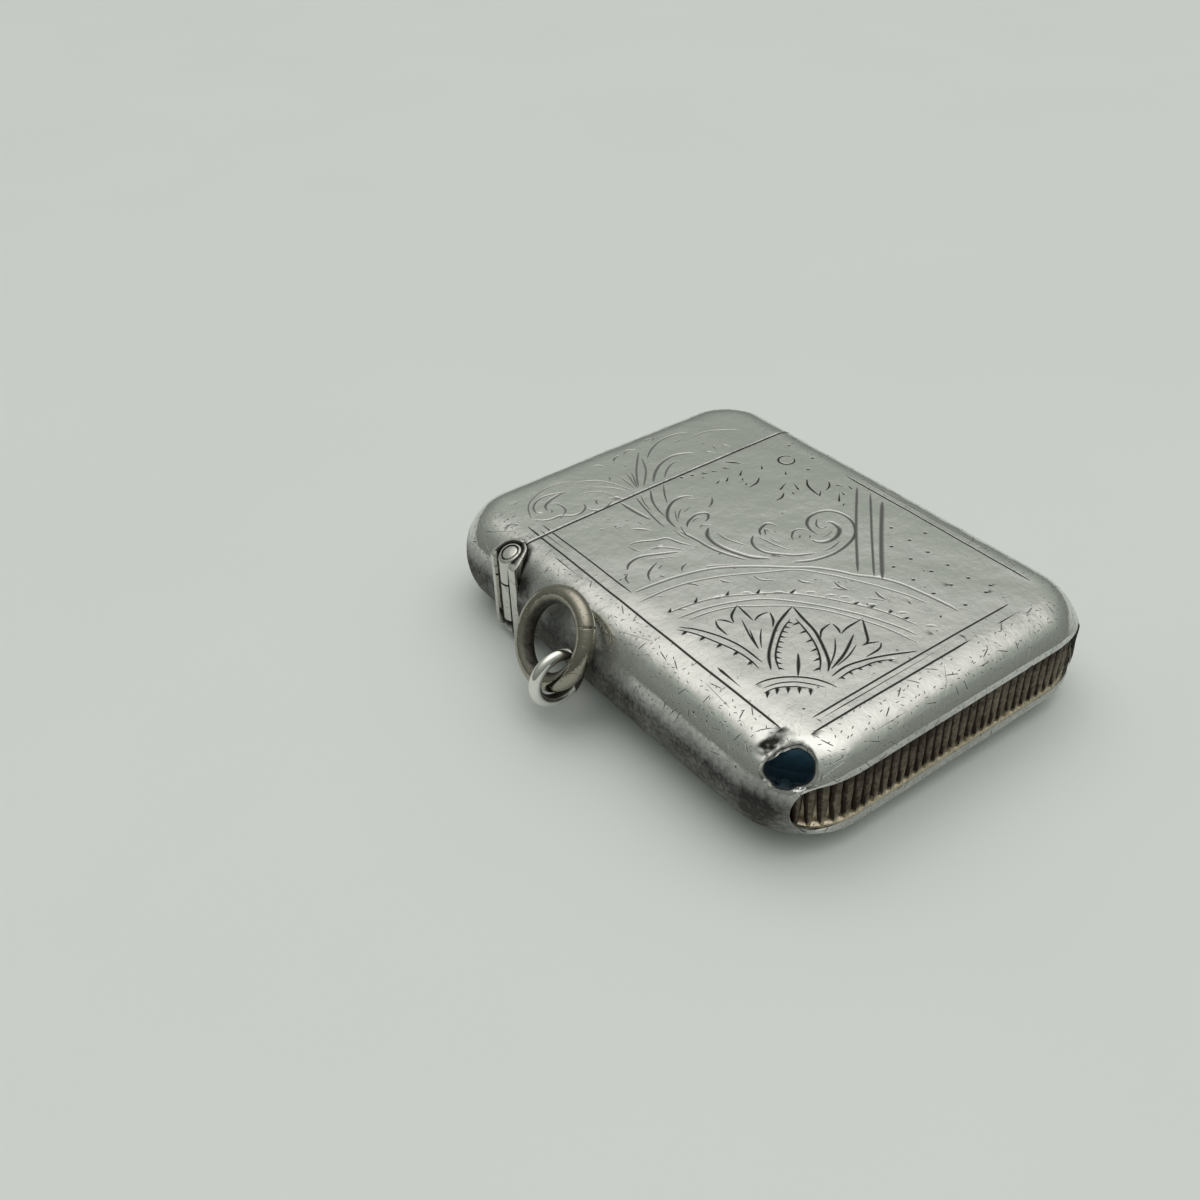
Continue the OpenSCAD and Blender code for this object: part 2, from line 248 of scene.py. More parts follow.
def silver(name, metal, grime_and_shade, rough, nicks, pit, bump):
    """Worn polished silver: hex colours, base roughness, and strengths of nicks, pits and bump."""
    material = bpy.data.materials.new(name)
    tree = empty_tree(material)
    coord = add(tree, "ShaderNodeTexCoord").outputs["Object"]
    lay = add(tree, "ShaderNodeAttribute", attribute_name="lay").outputs["Vector"]
    stain_and_shade = add(tree, "ShaderNodeAttribute", attribute_name="stain_and_shade").outputs["Fac"]
    cut = add(tree, "ShaderNodeAttribute", attribute_name="cut").outputs["Fac"]
    handled = add(tree, "ShaderNodeSeparateXYZ", {"Vector": lay}).outputs["Z"]
    cloud, dent, speck = (
        add(tree, "ShaderNodeTexNoise",
            {"Vector": coord, "Scale": 1 / (size * MM), "Detail": detail, "Roughness": fine})
        for size, detail, fine in ((CLOUD, 5.0, 0.6), (DENT, 3.0, 0.5), (SPECK, 2.0, 0.5)))

    # Nicks where the case is handled, and pits where the cloud is dense.
    marks = nick_marks(tree, lay)
    marks = add(tree, "ShaderNodeMath", {0: marks, 1: handled}, operation="MULTIPLY")
    cells = add(tree, "ShaderNodeTexVoronoi", {"Vector": coord, "Scale": 1 / (PIT_CELL * MM)})
    dot = add(tree, "ShaderNodeMapRange", {"Value": cells, "From Min": 0.12, "From Max": 0.06})
    chosen = add(tree, "ShaderNodeMapRange", {"Value": cloud, "From Min": 0.48, "From Max": 0.58})
    pits = add(tree, "ShaderNodeMath", {0: dot, 1: chosen}, operation="MULTIPLY")
    mark = add(tree, "ShaderNodeMath", {0: marks, 1: nicks}, operation="MULTIPLY")
    hole = add(tree, "ShaderNodeMath", {0: pits, 1: pit}, operation="MULTIPLY")
    worst = add(tree, "ShaderNodeMath", {0: mark, 1: hole}, operation="MAXIMUM")

    # The dark share is the mottled stain with its painted shade, the black of the cuts with their
    # painted shade, and what sits in the nicks and pits.
    patch = add(tree, "ShaderNodeMapRange",
                {"Value": cloud, **MIDDLE, "To Min": -0.13, "To Max": 0.13})
    mottle = add(tree, "ShaderNodeMapRange",
                 {"Value": speck, **MIDDLE, "To Min": -0.09, "To Max": 0.09})
    dirt_and_shade = add(tree, "ShaderNodeMath", {0: patch, 1: mottle}, operation="ADD")
    dirt_and_shade = add(tree, "ShaderNodeMath", {0: dirt_and_shade, 1: stain_and_shade}, operation="ADD")
    dirt_and_shade = add(tree, "ShaderNodeMapRange", {"Value": dirt_and_shade, "From Min": 0.06, "From Max": 0.95})
    dirt_and_shade = add(tree, "ShaderNodeMath", {0: dirt_and_shade, 1: cut}, operation="MAXIMUM")
    dirt_and_shade = add(tree, "ShaderNodeMath", {0: dirt_and_shade, 1: worst}, operation="MAXIMUM", use_clamp=True)

    # Dirt and painted shade are darker, duller and less of a metal than the silver under them.
    tint = add(tree, "ShaderNodeMix", {"Factor": dirt_and_shade, "A": linear(metal), "B": linear(grime_and_shade)},
               data_type="RGBA")
    bare = add(tree, "ShaderNodeMapRange", {"Value": dirt_and_shade, "To Min": 1.0, "To Max": 0.15})
    gloss = add(tree, "ShaderNodeMapRange",
                {"Value": cloud, **MIDDLE, "To Min": rough * 0.8, "To Max": rough * 1.25})
    film = add(tree, "ShaderNodeMath", {0: dirt_and_shade, 1: 0.5}, operation="MULTIPLY")
    gloss = add(tree, "ShaderNodeMath", {0: gloss, 1: film}, operation="ADD")

    # The surface is dented all over, grained where it is handled and sunk in the nicks and pits.
    grain = add(tree, "ShaderNodeMath", {0: speck, 1: handled}, operation="MULTIPLY")
    grain = add(tree, "ShaderNodeMath", {0: grain, 1: 0.42}, operation="MULTIPLY")
    height = add(tree, "ShaderNodeMath", {0: dent, 1: grain}, operation="ADD")
    height = add(tree, "ShaderNodeMath", {0: height, 1: worst}, operation="SUBTRACT")
    relief = add(tree, "ShaderNodeBump",
                 {"Height": height, "Strength": bump, "Distance": BUMP_HIGH * MM})
    surface = add(tree, "ShaderNodeBsdfPrincipled",
                  {"Base Color": tint, "Metallic": bare, "Roughness": gloss, "Normal": relief})
    add(tree, "ShaderNodeOutputMaterial", {"Surface": surface})
    return material


print("patterns of", CLOUD, DENT, SPECK, "mm")

# %% The finishes
# Engraved front: bright worn polish with black in the cuts. Back: the same without the black.
engraved_silver = silver("worn_engraved_silver", "#d5d6d2", "#191613", 0.11, 0.9, 0.95, 0.6)
plain_silver = silver("worn_plain_silver", "#d4d4cf", "#2b2720", 0.12, 0.9, 0.95, 0.6)
# Hinge: rubbed bright on the outside, with dirt in every joint and painted shade in the groove.
hinge_silver = silver("rubbed_hinge_silver", "#cfcec8", "#14110d", 0.14, 0.4, 0.6, 0.7)
# Small ring: a near mirror. Large ring: a soft, yellowed rub on thick wire.
bright_silver = silver("mirror_polished_silver", "#e9e8e3", "#3f3b34", 0.04, 0.1, 0.1, 0.12)
dull_silver = silver("rubbed_silver_wire", "#a19c90", "#1c170f", 0.11, 0.2, 0.5, 0.8)
# Inside: a blue-black sulphide film that still shines a little; it also paints the floor of the
# worn hole, as the shade of the inside seen through it. Collar: a handled grey.
inside_and_hole_shade_silver = silver("tarnished_inside_and_hole_shade_silver", "#1d2f3a", "#0e1519", 0.20, 0.2, 0.3, 0.6)
collar_silver = silver("handled_collar_silver", "#b9b5ab", "#4b4336", 0.26, 0.3, 0.5, 0.5)
# Striker: brown match dirt over silver; its stain also paints shade under the upper lip and between
# the ribs, and leaves the feet of the ribs pale.
striker_silver = silver("match_stained_silver", "#d0c3aa", "#2f1f0f", 0.24, 0.3, 0.7, 0.9)
print("silver finishes: 8")

# %% [markdown]
# ## The rolled edge
# Both faces roll over to the side on two arcs that meet smoothly: a tight shoulder and a broad
# side. Because a roll keeps its section all round the plan, one function gives the section and
# another walks the plan outline, and their product is the whole skin. The walk is finer at the
# worn corner and at the hinge, where the surface has more to show.

# %% Roll section and walk round the plan
FACE_ANGLE = 70  # where the roll ends and the engraved face begins
NEAR_STEP, FAR_STEP, END_STEP = 0.15, 0.5, 0.4


def roll_point(angle, inset):
    """Distance in and height off the mid-plane of the skin where it faces up by an angle."""
    on_side = angle <= SIDE_ANGLE
    radius, centre, rise = (SIDE_R, SIDE_R, 0) if on_side else (SHOULDER_R, ROLL, SHOULDER_Z)
    turn, reach = math.radians(angle), radius - inset
    return centre - reach * math.cos(turn), rise + reach * math.sin(turn)


def spaced(start, stop, step):
    """Numbers from start to stop, about step apart, without the last."""
    count = max(1, round(abs(stop - start) / step))
    return [start + (stop - start) * i / count for i in range(count)]


def edge_walk(is_lid):
    """Outline points and inward directions, counter-clockwise from seam to seam."""
    side = 1 if is_lid else -1
    seam = SEAM_Y + side * SEAM_GAP / 2
    x, y, radius = (LID_X, LID_Y, LID_R) if is_lid else (-BASE_X, BASE_Y, BASE_R)
    start = 0 if is_lid else 180
    out = [seam, seam + side * SEAM_EDGE]
    out += spaced(seam + side * 0.3, seam + side * 2.7, NEAR_STEP)
    out += spaced(out[-1] + side * NEAR_STEP, y, FAR_STEP)
    walk = [(side * SIDE, v, -side, 0) for v in out]
    for number, middle in enumerate((x, -x)):
        first = start + 90 * number
        fine = 1.5 if not is_lid and number == 0 else 2.5
        for angle in spaced(first, first + 90, fine) + [first + 90]:
            c, s = math.cos(math.radians(angle)), math.sin(math.radians(angle))
            walk.append((middle + radius * c, y + radius * s, -c, -s))
        if number == 0:
            walk += [(u, side * END, 0, -side) for u in spaced(x, -x, END_STEP)[1:]]
    home = spaced(y, seam + side * 3.0, FAR_STEP)[1:]
    home += spaced(seam + side * 3.0, seam + side * SEAM_EDGE, 0.2)
    home += [seam + side * SEAM_EDGE, seam]
    walk += [(-side * SIDE, v, side, 0) for v in home]
    walk = np.array(walk)
    return walk[:, :2], walk[:, 2:]


print("walk:", len(edge_walk(False)[0]), "body columns,", len(edge_walk(True)[0]), "lid columns")

# %% [markdown]
# ## The engraving
# The front is cut with a graver: a leaf group in a quarter-round frame at one corner, acanthus
# and scrolls across the middle, a band of slanting bars with a dotted ground below it, and
# straight border lines. Each cut is a V that swells and dies out, so it is stored as a width and a
# few points, and a smooth curve is passed through them.

# %% Straight borders and the quarter-round frame
# Lines along the two long sides and the striker's end.
BORDERS = [
    (0.24, [(-13.1, 14.9), (-13.25, 4.0), (-13.4, -17.2)]),
    (0.20, [(-12.0, 14.3), (-12.0, 8.0), (-12.05, 1.5)]),
    (0.14, [(-12.6, 13.9), (-12.6, 9.0)]),
    (0.14, [(-13.9, 9.6), (-13.95, 6.0)]),
    (0.30, [(-12.65, -9.4), (-12.8, -12.4)]),
    (0.22, [(-11.2, -17.75), (0.0, -17.7), (9.8, -17.75)]),
    (0.14, [(-11.0, -18.2), (4.0, -18.2)]),
    (0.24, [(-12.4, -18.85), (-4.0, -18.85), (4.0, -18.85)]),
    (0.18, [(7.0, -18.85), (9.8, -18.85)]),
    (0.22, [(13.4, 3.5), (13.45, -6.0), (13.4, -17.0)]),
    (0.12, [(14.1, 2.0), (14.1, -12.0)]),
]
# The quarter-round frame: two outer lines, short fillers and three inner lines.
FRAME = [
    (0.34, [(-12.0, 1.5), (-10.0, 1.3), (-8.0, 0.95), (-6.0, 0.4), (-4.0, -0.6), (-2.0, -2.1),
        (0.0, -3.9), (1.3, -5.0), (2.3, -6.3), (3.2, -7.8), (4.2, -9.0), (5.0, -10.5), (5.5, -12.5),
        (5.9, -15.0), (5.95, -16.2)]),
    (0.24, [(-12.4, 0.25), (-10.0, 0.15), (-8.0, -0.2), (-6.0, -0.9), (-4.0, -1.9), (-2.0, -3.1),
        (0.0, -4.3), (1.3, -6.0), (2.6, -8.2), (3.6, -10.2), (4.4, -12.2), (4.9, -14.0)]),
    (0.12, [(-11.3, 0.55), (-9.0, 0.3)]), (0.30, [(-5.5, 0.7), (-2.8, -1.0)]),
    (0.24, [(-11.7, -2.2), (-9.2, -2.6), (-7.0, -3.3), (-5.0, -4.5), (-3.5, -5.5), (-2.2, -6.7),
        (-1.0, -8.2), (0.0, -9.8), (1.0, -11.5), (1.8, -13.4), (2.3, -15.6)]),
    (0.26, [(-11.5, -3.2), (-9.0, -3.6), (-7.0, -4.3), (-5.0, -5.3), (-3.5, -6.7), (-2.0, -8.6),
        (-1.0, -10.2), (0.0, -12.0), (1.0, -14.5), (1.4, -16.2)]),
    (0.22, [(-11.0, -3.9), (-9.0, -4.2), (-7.0, -4.9), (-5.5, -6.0), (-4.0, -7.2), (-2.5, -8.8),
        (-1.3, -10.7), (-0.4, -12.6), (0.2, -14.2), (0.75, -16.8)]),
]
# Barbs on the frame's outer lines.
BARBS = [
    (0.30, [(-8.08, -0.26), (-7.55, -0.61), (-7.37, -1.23)]),
    (0.30, [(-5.61, -1.39), (-5.46, -1.91), (-5.05, -2.4)]),
    (0.26, [(-3.1, -2.64), (-3.06, -3.54), (-2.13, -4.38)]),
    (0.34, [(-0.73, -5.24), (-0.69, -5.86), (-0.11, -6.53)]),
    (0.30, [(1.29, -7.27), (1.17, -8.14), (1.4, -9.03)]),
    (0.26, [(0.51, -7.8), (0.95, -8.36), (1.33, -8.97)]),
    (0.30, [(2.9, -10.13), (2.71, -10.93), (2.74, -11.78)]),
    (0.24, [(1.61, -10.42), (2.18, -11.07), (2.68, -11.74)]),
    (0.22, [(3.35, -11.63), (3.51, -11.96)]), (0.32, [(3.93, -12.75), (3.74, -13.27)]),
    (0.26, [(4.12, -14.31), (4.21, -14.57)]), (0.22, [(-10.7, -0.07), (-10.31, -0.58)]),
    (0.20, [(-1.18, -4.68), (-0.9, -4.9)]), (0.20, [(0.63, -6.42), (0.86, -6.69)]),
    (0.20, [(1.94, -8.0), (2.04, -8.27)]), (0.20, [(2.61, -9.2), (2.71, -9.4)]),
    (0.26, [(4.56, -15.51), (4.2, -15.76)]), (0.26, [(2.31, -16.62), (2.34, -16.82)]),
]
# Where a wedge is cut between the lines, and the ends of the inner line's teeth.
WEDGES = [
    (-10.75, -2.3), (-7.8, -2.9), (-5.5, -3.85), (-3.5, -5.4), (-1.55, -6.95), (-0.6, -8.2),
    (0.05, -9.05), (0.95, -11.0), (2.1, -13.2), (2.55, -15.6),
]
TEETH = [
    ((-11.3, -2.22), (-10.9, -1.9)), ((-9.05, -2.62), (-8.4, -2.1)),
    ((-6.51, -3.47), (-5.98, -3.05)), ((-4.53, -4.76), (-3.84, -4.4)),
    ((-2.46, -6.36), (-1.67, -6.2)), ((0.47, -10.43), (0.98, -10.5)), ((1.1, -11.5), (1.6, -11.6)),
    ((1.72, -12.81), (2.25, -12.9)), ((2.11, -14.08), (2.6, -14.2)),
]
print("borders and frame:", len(BORDERS) + len(FRAME) + len(BARBS), "lines")

# %% The leaf group in the corner
# Stems, side leaves, the tall middle leaf and the curls at its foot.
LEAF_GROUP = [
    (0.24, [(-12.0, -4.0), (-11.0, -5.3), (-10.2, -7.0), (-9.75, -9.0), (-9.8, -11.3)]),
    (0.20, [(-12.3, -4.1), (-11.4, -5.7), (-10.8, -7.5), (-10.4, -9.0), (-10.3, -10.5),
        (-10.5, -11.7)]),
    (0.28, [(-9.7, -7.3), (-9.6, -6.0), (-9.2, -5.2)]),
    (0.28, [(-9.2, -5.2), (-8.7, -5.7), (-8.4, -6.5)]),
    (0.30, [(-8.4, -6.5), (-7.9, -5.6), (-6.7, -4.85)]),
    (0.28, [(-6.7, -4.85), (-6.85, -6.0), (-7.05, -7.2)]),
    (0.28, [(-7.05, -7.2), (-6.2, -6.9), (-5.3, -7.05)]),
    (0.28, [(-5.3, -7.05), (-5.8, -8.0), (-6.5, -8.7)]),
    (0.20, [(-7.6, -6.4), (-8.4, -8.2), (-9.0, -9.9)]),
    (0.18, [(-7.9, -7.6), (-8.6, -9.0), (-9.0, -10.0)]),
    (0.18, [(-7.1, -8.1), (-8.0, -9.0), (-8.8, -10.0)]),
    (0.32, [(-9.95, -12.3), (-8.9, -10.9), (-7.5, -9.7), (-5.9, -8.6), (-4.2, -7.9),
        (-3.5, -7.7)]),
    (0.32, [(-3.5, -7.7), (-3.9, -9.3), (-4.3, -11.0), (-5.1, -12.7), (-6.0, -14.2),
        (-6.9, -15.0)]),
    (0.20, [(-9.5, -12.7), (-8.6, -11.3), (-7.2, -10.1), (-5.8, -9.2), (-4.6, -8.7)]),
    (0.20, [(-4.35, -8.8), (-4.7, -10.3), (-5.3, -12.0), (-6.2, -13.5), (-7.3, -14.6)]),
    (0.34, [(-7.0, -12.0), (-7.9, -13.0), (-8.9, -14.0)]),
    (0.28, [(-4.6, -11.9), (-3.8, -11.2), (-2.6, -11.0)]),
    (0.28, [(-2.6, -11.0), (-2.7, -11.8), (-3.05, -12.45)]),
    (0.28, [(-3.05, -12.45), (-2.0, -12.15), (-0.4, -12.1)]),
    (0.28, [(-0.4, -12.1), (-1.2, -13.2), (-2.1, -14.3), (-2.9, -14.35)]),
    (0.26, [(-2.9, -14.35), (-2.1, -14.5), (-1.3, -14.9)]),
    (0.26, [(-1.3, -14.9), (-2.0, -15.4), (-3.6, -15.5)]),
    (0.30, [(-6.5, -14.9), (-4.4, -14.2), (-2.2, -13.0)]),
    (0.18, [(-6.3, -14.6), (-4.8, -13.6), (-3.6, -12.4)]),
    (0.18, [(-6.0, -14.9), (-4.4, -14.6), (-2.9, -14.0)]),
    (0.26, [(-7.1, -15.5), (-5.5, -15.3), (-4.0, -15.6), (-2.3, -16.2), (0.1, -17.4)]),
    (0.20, [(-7.0, -16.0), (-5.5, -15.9), (-4.5, -16.1), (-3.3, -16.3), (-1.9, -17.0)]),
    (0.24, [(-12.0, -12.7), (-11.0, -12.8), (-10.0, -13.2), (-9.0, -13.9), (-8.2, -14.8),
        (-7.7, -15.8), (-7.5, -16.7)]),
    (0.18, [(-11.8, -13.3), (-10.5, -13.6), (-9.4, -14.3), (-8.6, -15.3), (-8.1, -16.2)]),
    (0.18, [(-12.1, -13.7), (-10.9, -13.9), (-9.7, -14.7), (-8.9, -15.7)]),
]
# The lines that carry ticks: outer stem, inner edges of the leaf, its foot and the corner curl.
stem, leaf_upper, leaf_lower, leaf_foot, curl = (LEAF_GROUP[i][1] for i in (1, 13, 14, 26, 29))
# Ticks: the line they start from, which way they lean, length, pitch and width.
TICKED = [
    (stem, (-1.0, -0.25), 0.62, 1.5, 0.44), (leaf_upper, (0.45, -0.9), 0.55, 0.62, 0.32),
    (leaf_lower, (-1.0, 0.05), 0.75, 1.1, 0.36), (leaf_foot, (0.2, -1.0), 0.42, 0.85, 0.32),
    (curl, (-0.7, -0.7), 0.8, 0.8, 0.42),
]
print("leaf group:", len(LEAF_GROUP), "cuts")

# %% Acanthus, scrolls, bars and sprays on the body
# Leaves that rise from the frame to the seam.
ACANTHUS = [
    (0.26, [(-1.5, 12.6), (-2.5, 11.0), (-3.0, 9.5), (-3.2, 8.2)]),
    (0.20, [(0.0, 12.6), (-1.0, 11.2), (-1.8, 9.8)]),
    (0.24, [(-3.2, 12.5), (-3.6, 11.0), (-4.0, 9.0), (-4.3, 7.0)]),
    (0.46, [(-4.8, 12.7), (-4.7, 10.6), (-4.4, 8.7)]),
    (0.36, [(-3.6, 6.4), (-3.2, 8.0), (-2.2, 9.2), (-1.0, 9.85), (0.0, 9.8), (0.7, 9.4)]),
    (0.20, [(0.0, 9.2), (1.3, 8.5)]), (0.26, [(1.9, 8.2), (1.3, 7.5), (0.5, 7.05)]),
    (0.32, [(-2.9, 5.8), (-2.2, 6.5), (-1.0, 6.9), (-0.1, 6.5), (-0.6, 5.8), (-1.2, 5.6)]),
    (0.24, [(-2.1, 5.1), (-1.6, 5.35), (-1.0, 4.8)]),
    (0.50, [(-1.4, 4.8), (-2.2, 4.0), (-2.5, 3.0), (-2.5, 2.0), (-2.2, 0.8), (-1.5, -0.8),
        (-0.4, -2.0)]),
    (0.24, [(-1.4, 3.9), (-1.4, 2.5), (-1.0, 1.3), (-0.6, 0.5)]),
    (0.34, [(-3.7, 6.0), (-3.4, 4.0), (-3.3, 2.5), (-2.9, 1.0), (-2.0, -1.0)]),
    (0.24, [(-11.5, 2.6), (-11.2, 3.5), (-10.6, 3.9)]),
    (0.34, [(-10.5, 4.2), (-9.9, 4.8), (-9.0, 5.05), (-8.2, 4.9), (-7.0, 4.3), (-5.5, 3.5)]),
    (0.26, [(-10.0, 1.8), (-9.6, 2.6), (-9.0, 3.1), (-7.8, 3.6)]),
    (0.22, [(-7.2, 1.2), (-6.8, 1.7), (-6.0, 2.0)]),
    (0.24, [(-8.4, 7.0), (-8.2, 5.9), (-7.9, 5.4)]),
    (0.30, [(-8.3, 7.0), (-7.4, 6.85), (-6.5, 6.3), (-6.0, 6.0), (-5.2, 5.7), (-4.8, 4.6),
        (-4.2, 3.4)]),
    (0.24, [(-7.5, 5.4), (-6.2, 4.8), (-5.0, 3.3)]), (0.26, [(-8.8, 10.4), (-8.1, 10.2)]),
    (0.26, [(-7.5, 9.7), (-6.8, 9.5)]), (0.36, [(-6.6, 8.8), (-6.0, 8.2), (-5.4, 7.5)]),
    (0.22, [(-6.1, 10.2), (-6.0, 9.7)]), (0.24, [(-5.5, 9.3), (-5.4, 8.5)]),
    (0.16, [(-2.7, 12.4), (-3.1, 11.6), (-3.4, 10.6), (-3.6, 9.8)]),
    (0.15, [(-2.95, 6.9), (-2.6, 7.6), (-1.9, 8.7)]),
    (0.17, [(-2.65, 7.2), (-2.1, 7.9), (-1.3, 8.5)]),
    (0.15, [(-1.7, 7.8), (-1.0, 8.05), (-0.4, 8.2)]),
    (0.15, [(-3.55, 4.8), (-3.45, 5.6), (-3.1, 6.5)]),
    (0.18, [(-2.0, 6.15), (-1.6, 6.4), (-0.9, 6.4)]),
    (0.20, [(-3.95, 6.4), (-3.98, 5.2), (-3.85, 4.2)]),
    (0.15, [(-7.5, 5.9), (-6.9, 5.3), (-6.3, 5.0)]),
    (0.18, [(-8.3, 4.4), (-7.2, 3.7), (-6.2, 3.2)]),
    (0.14, [(-8.6, 2.6), (-8.1, 2.9), (-7.6, 3.05)]), (0.28, [(-8.85, 1.8), (-8.45, 1.6)]),
]
# The scroll at the middle and its curled ends.
SCROLLS = [
    (0.34, [(0.7, 1.5), (0.0, 0.9), (-0.35, 0.0), (-0.2, -1.0), (0.6, -2.0), (1.5, -2.9),
        (3.0, -3.7)]),
    (0.36, [(1.1, 1.0), (1.6, 1.7), (2.4, 2.05), (2.9, 2.0), (3.2, 1.1)]),
    (0.22, [(1.5, 0.8), (2.0, 1.5), (2.3, 1.1)]),
    (0.24, [(2.75, -1.3), (3.0, -0.7), (3.8, -0.15), (4.5, -0.4), (4.75, -0.9)]),
    (0.48, [(4.0, -1.9), (4.1, -2.5), (4.6, -2.95), (5.4, -3.05), (6.3, -2.8), (7.0, -2.2),
        (7.1, -1.2), (6.8, -0.8)]),
    (0.36, [(4.95, -1.9), (5.0, -0.9), (5.4, 0.0), (6.3, 0.6), (7.4, 0.6), (8.3, 0.1), (8.7, -1.0),
        (8.5, -2.3), (7.5, -3.6), (6.0, -4.3), (4.0, -4.6), (2.0, -4.2), (0.5, -3.3)]),
    (0.26, [(6.6, 0.0), (6.0, -0.5), (5.75, -1.0), (6.0, -1.4), (6.5, -1.3)]),
    (0.40, [(-0.1, -1.5), (0.8, -2.7)]),
    (0.22, [(0.8, 1.3), (0.95, 0.5), (1.1, -0.6), (1.4, -1.6), (1.75, -2.2)]),
    (0.14, [(0.35, 0.2), (0.4, -0.6), (0.9, -1.7)]),
    (0.15, [(1.5, 0.5), (1.5, -0.2), (1.75, -1.3)]), (0.22, [(3.4, -1.25), (3.8, -0.85)]),
    (0.2, [(4.05, -1.75), (4.45, -1.4)]), (0.15, [(4.7, -2.2), (5.5, -2.35), (6.4, -2.1)]),
    (0.22, [(3.3, -3.75), (4.4, -3.9), (5.8, -3.6)]), (0.2, [(2.4, 0.55), (2.55, 0.9)]),
]
# Slanting bars, and the dots of the ground beyond them.
BARS = [
    (0.30, [(3.6, -7.7), (8.2, -3.0), (12.9, 1.5)]),
    (0.26, [(4.2, -8.9), (8.6, -4.4), (13.0, 0.0)]),
    (0.46, [(4.5, -9.5), (8.7, -5.4), (12.9, -1.5)]),
]
GROUND_DOTS = [
    (8.4, -6.8), (10.2, -7.1), (12.0, -7.2), (6.4, -8.9), (8.3, -9.0), (10.1, -9.2), (6.3, -11.1),
    (8.3, -11.2), (10.0, -11.4), (6.2, -13.3), (8.1, -13.4), (9.9, -13.6), (7.0, -15.8),
    (9.5, -15.7), (10.5, -15.3), (10.4, -4.9), (13.2, 10.5), (13.3, 7.5), (11.6, 6.3), (1.9, 12.4),
    (2.9, 12.1),
]
# A small ring stands alone near the seam, among the sprays.
MARK_X, MARK_Y, MARK_R = 11.2, 8.7, 0.75
RING_MARK = [
    (MARK_X + MARK_R * math.cos(a), MARK_Y + MARK_R * math.sin(a))
    for a in map(math.radians, range(0, 361, 30))]
SPRAYS = [
    (0.26, RING_MARK), (0.30, [(3.9, 11.7), (4.3, 11.4)]), (0.30, [(4.7, 11.6), (5.1, 11.0)]),
    (0.30, [(5.9, 11.4), (6.3, 10.7)]), (0.34, [(6.6, 12.1), (7.2, 11.5), (7.7, 10.8)]),
    (0.26, [(3.6, 9.6), (4.3, 9.9)]), (0.26, [(4.5, 9.3), (5.3, 9.9)]),
    (0.28, [(6.1, 9.3), (7.0, 10.0)]), (0.22, [(5.8, 8.6), (6.1, 8.9)]),
    (0.22, [(5.5, 7.8), (5.8, 8.1)]), (0.28, [(5.3, 7.3), (6.5, 7.5), (7.4, 8.1)]),
    (0.26, [(8.4, 8.9), (8.9, 9.5)]), (0.24, [(9.4, 6.8), (9.8, 7.4)]),
    (0.28, [(7.2, 5.3), (8.6, 5.9)]), (0.28, [(5.7, 4.3), (6.5, 4.3), (7.3, 4.8)]),
    (0.22, [(7.7, 4.0), (7.9, 4.5)]), (0.26, [(8.5, 4.2), (9.0, 5.5)]),
    (0.30, [(9.2, 2.4), (9.6, 4.2), (10.4, 5.2)]), (0.24, [(9.2, 2.4), (10.0, 3.0)]),
    (0.26, [(10.2, 2.7), (11.0, 3.0), (11.6, 3.7)]), (0.24, [(11.6, 2.9), (12.0, 2.0)]),
    (0.22, [(12.2, 1.4), (12.4, 2.2)]), (0.22, [(11.0, 1.1), (11.2, 1.8)]),
    (0.26, [(9.8, 0.6), (11.0, 1.8)]), (0.22, [(9.7, 0.0), (10.1, 0.3)]),
]
middle_cuts = len(ACANTHUS) + len(SCROLLS) + len(BARS) + len(SPRAYS)
print("middle ornament:", middle_cuts, "cuts,", len(GROUND_DOTS), "dots")

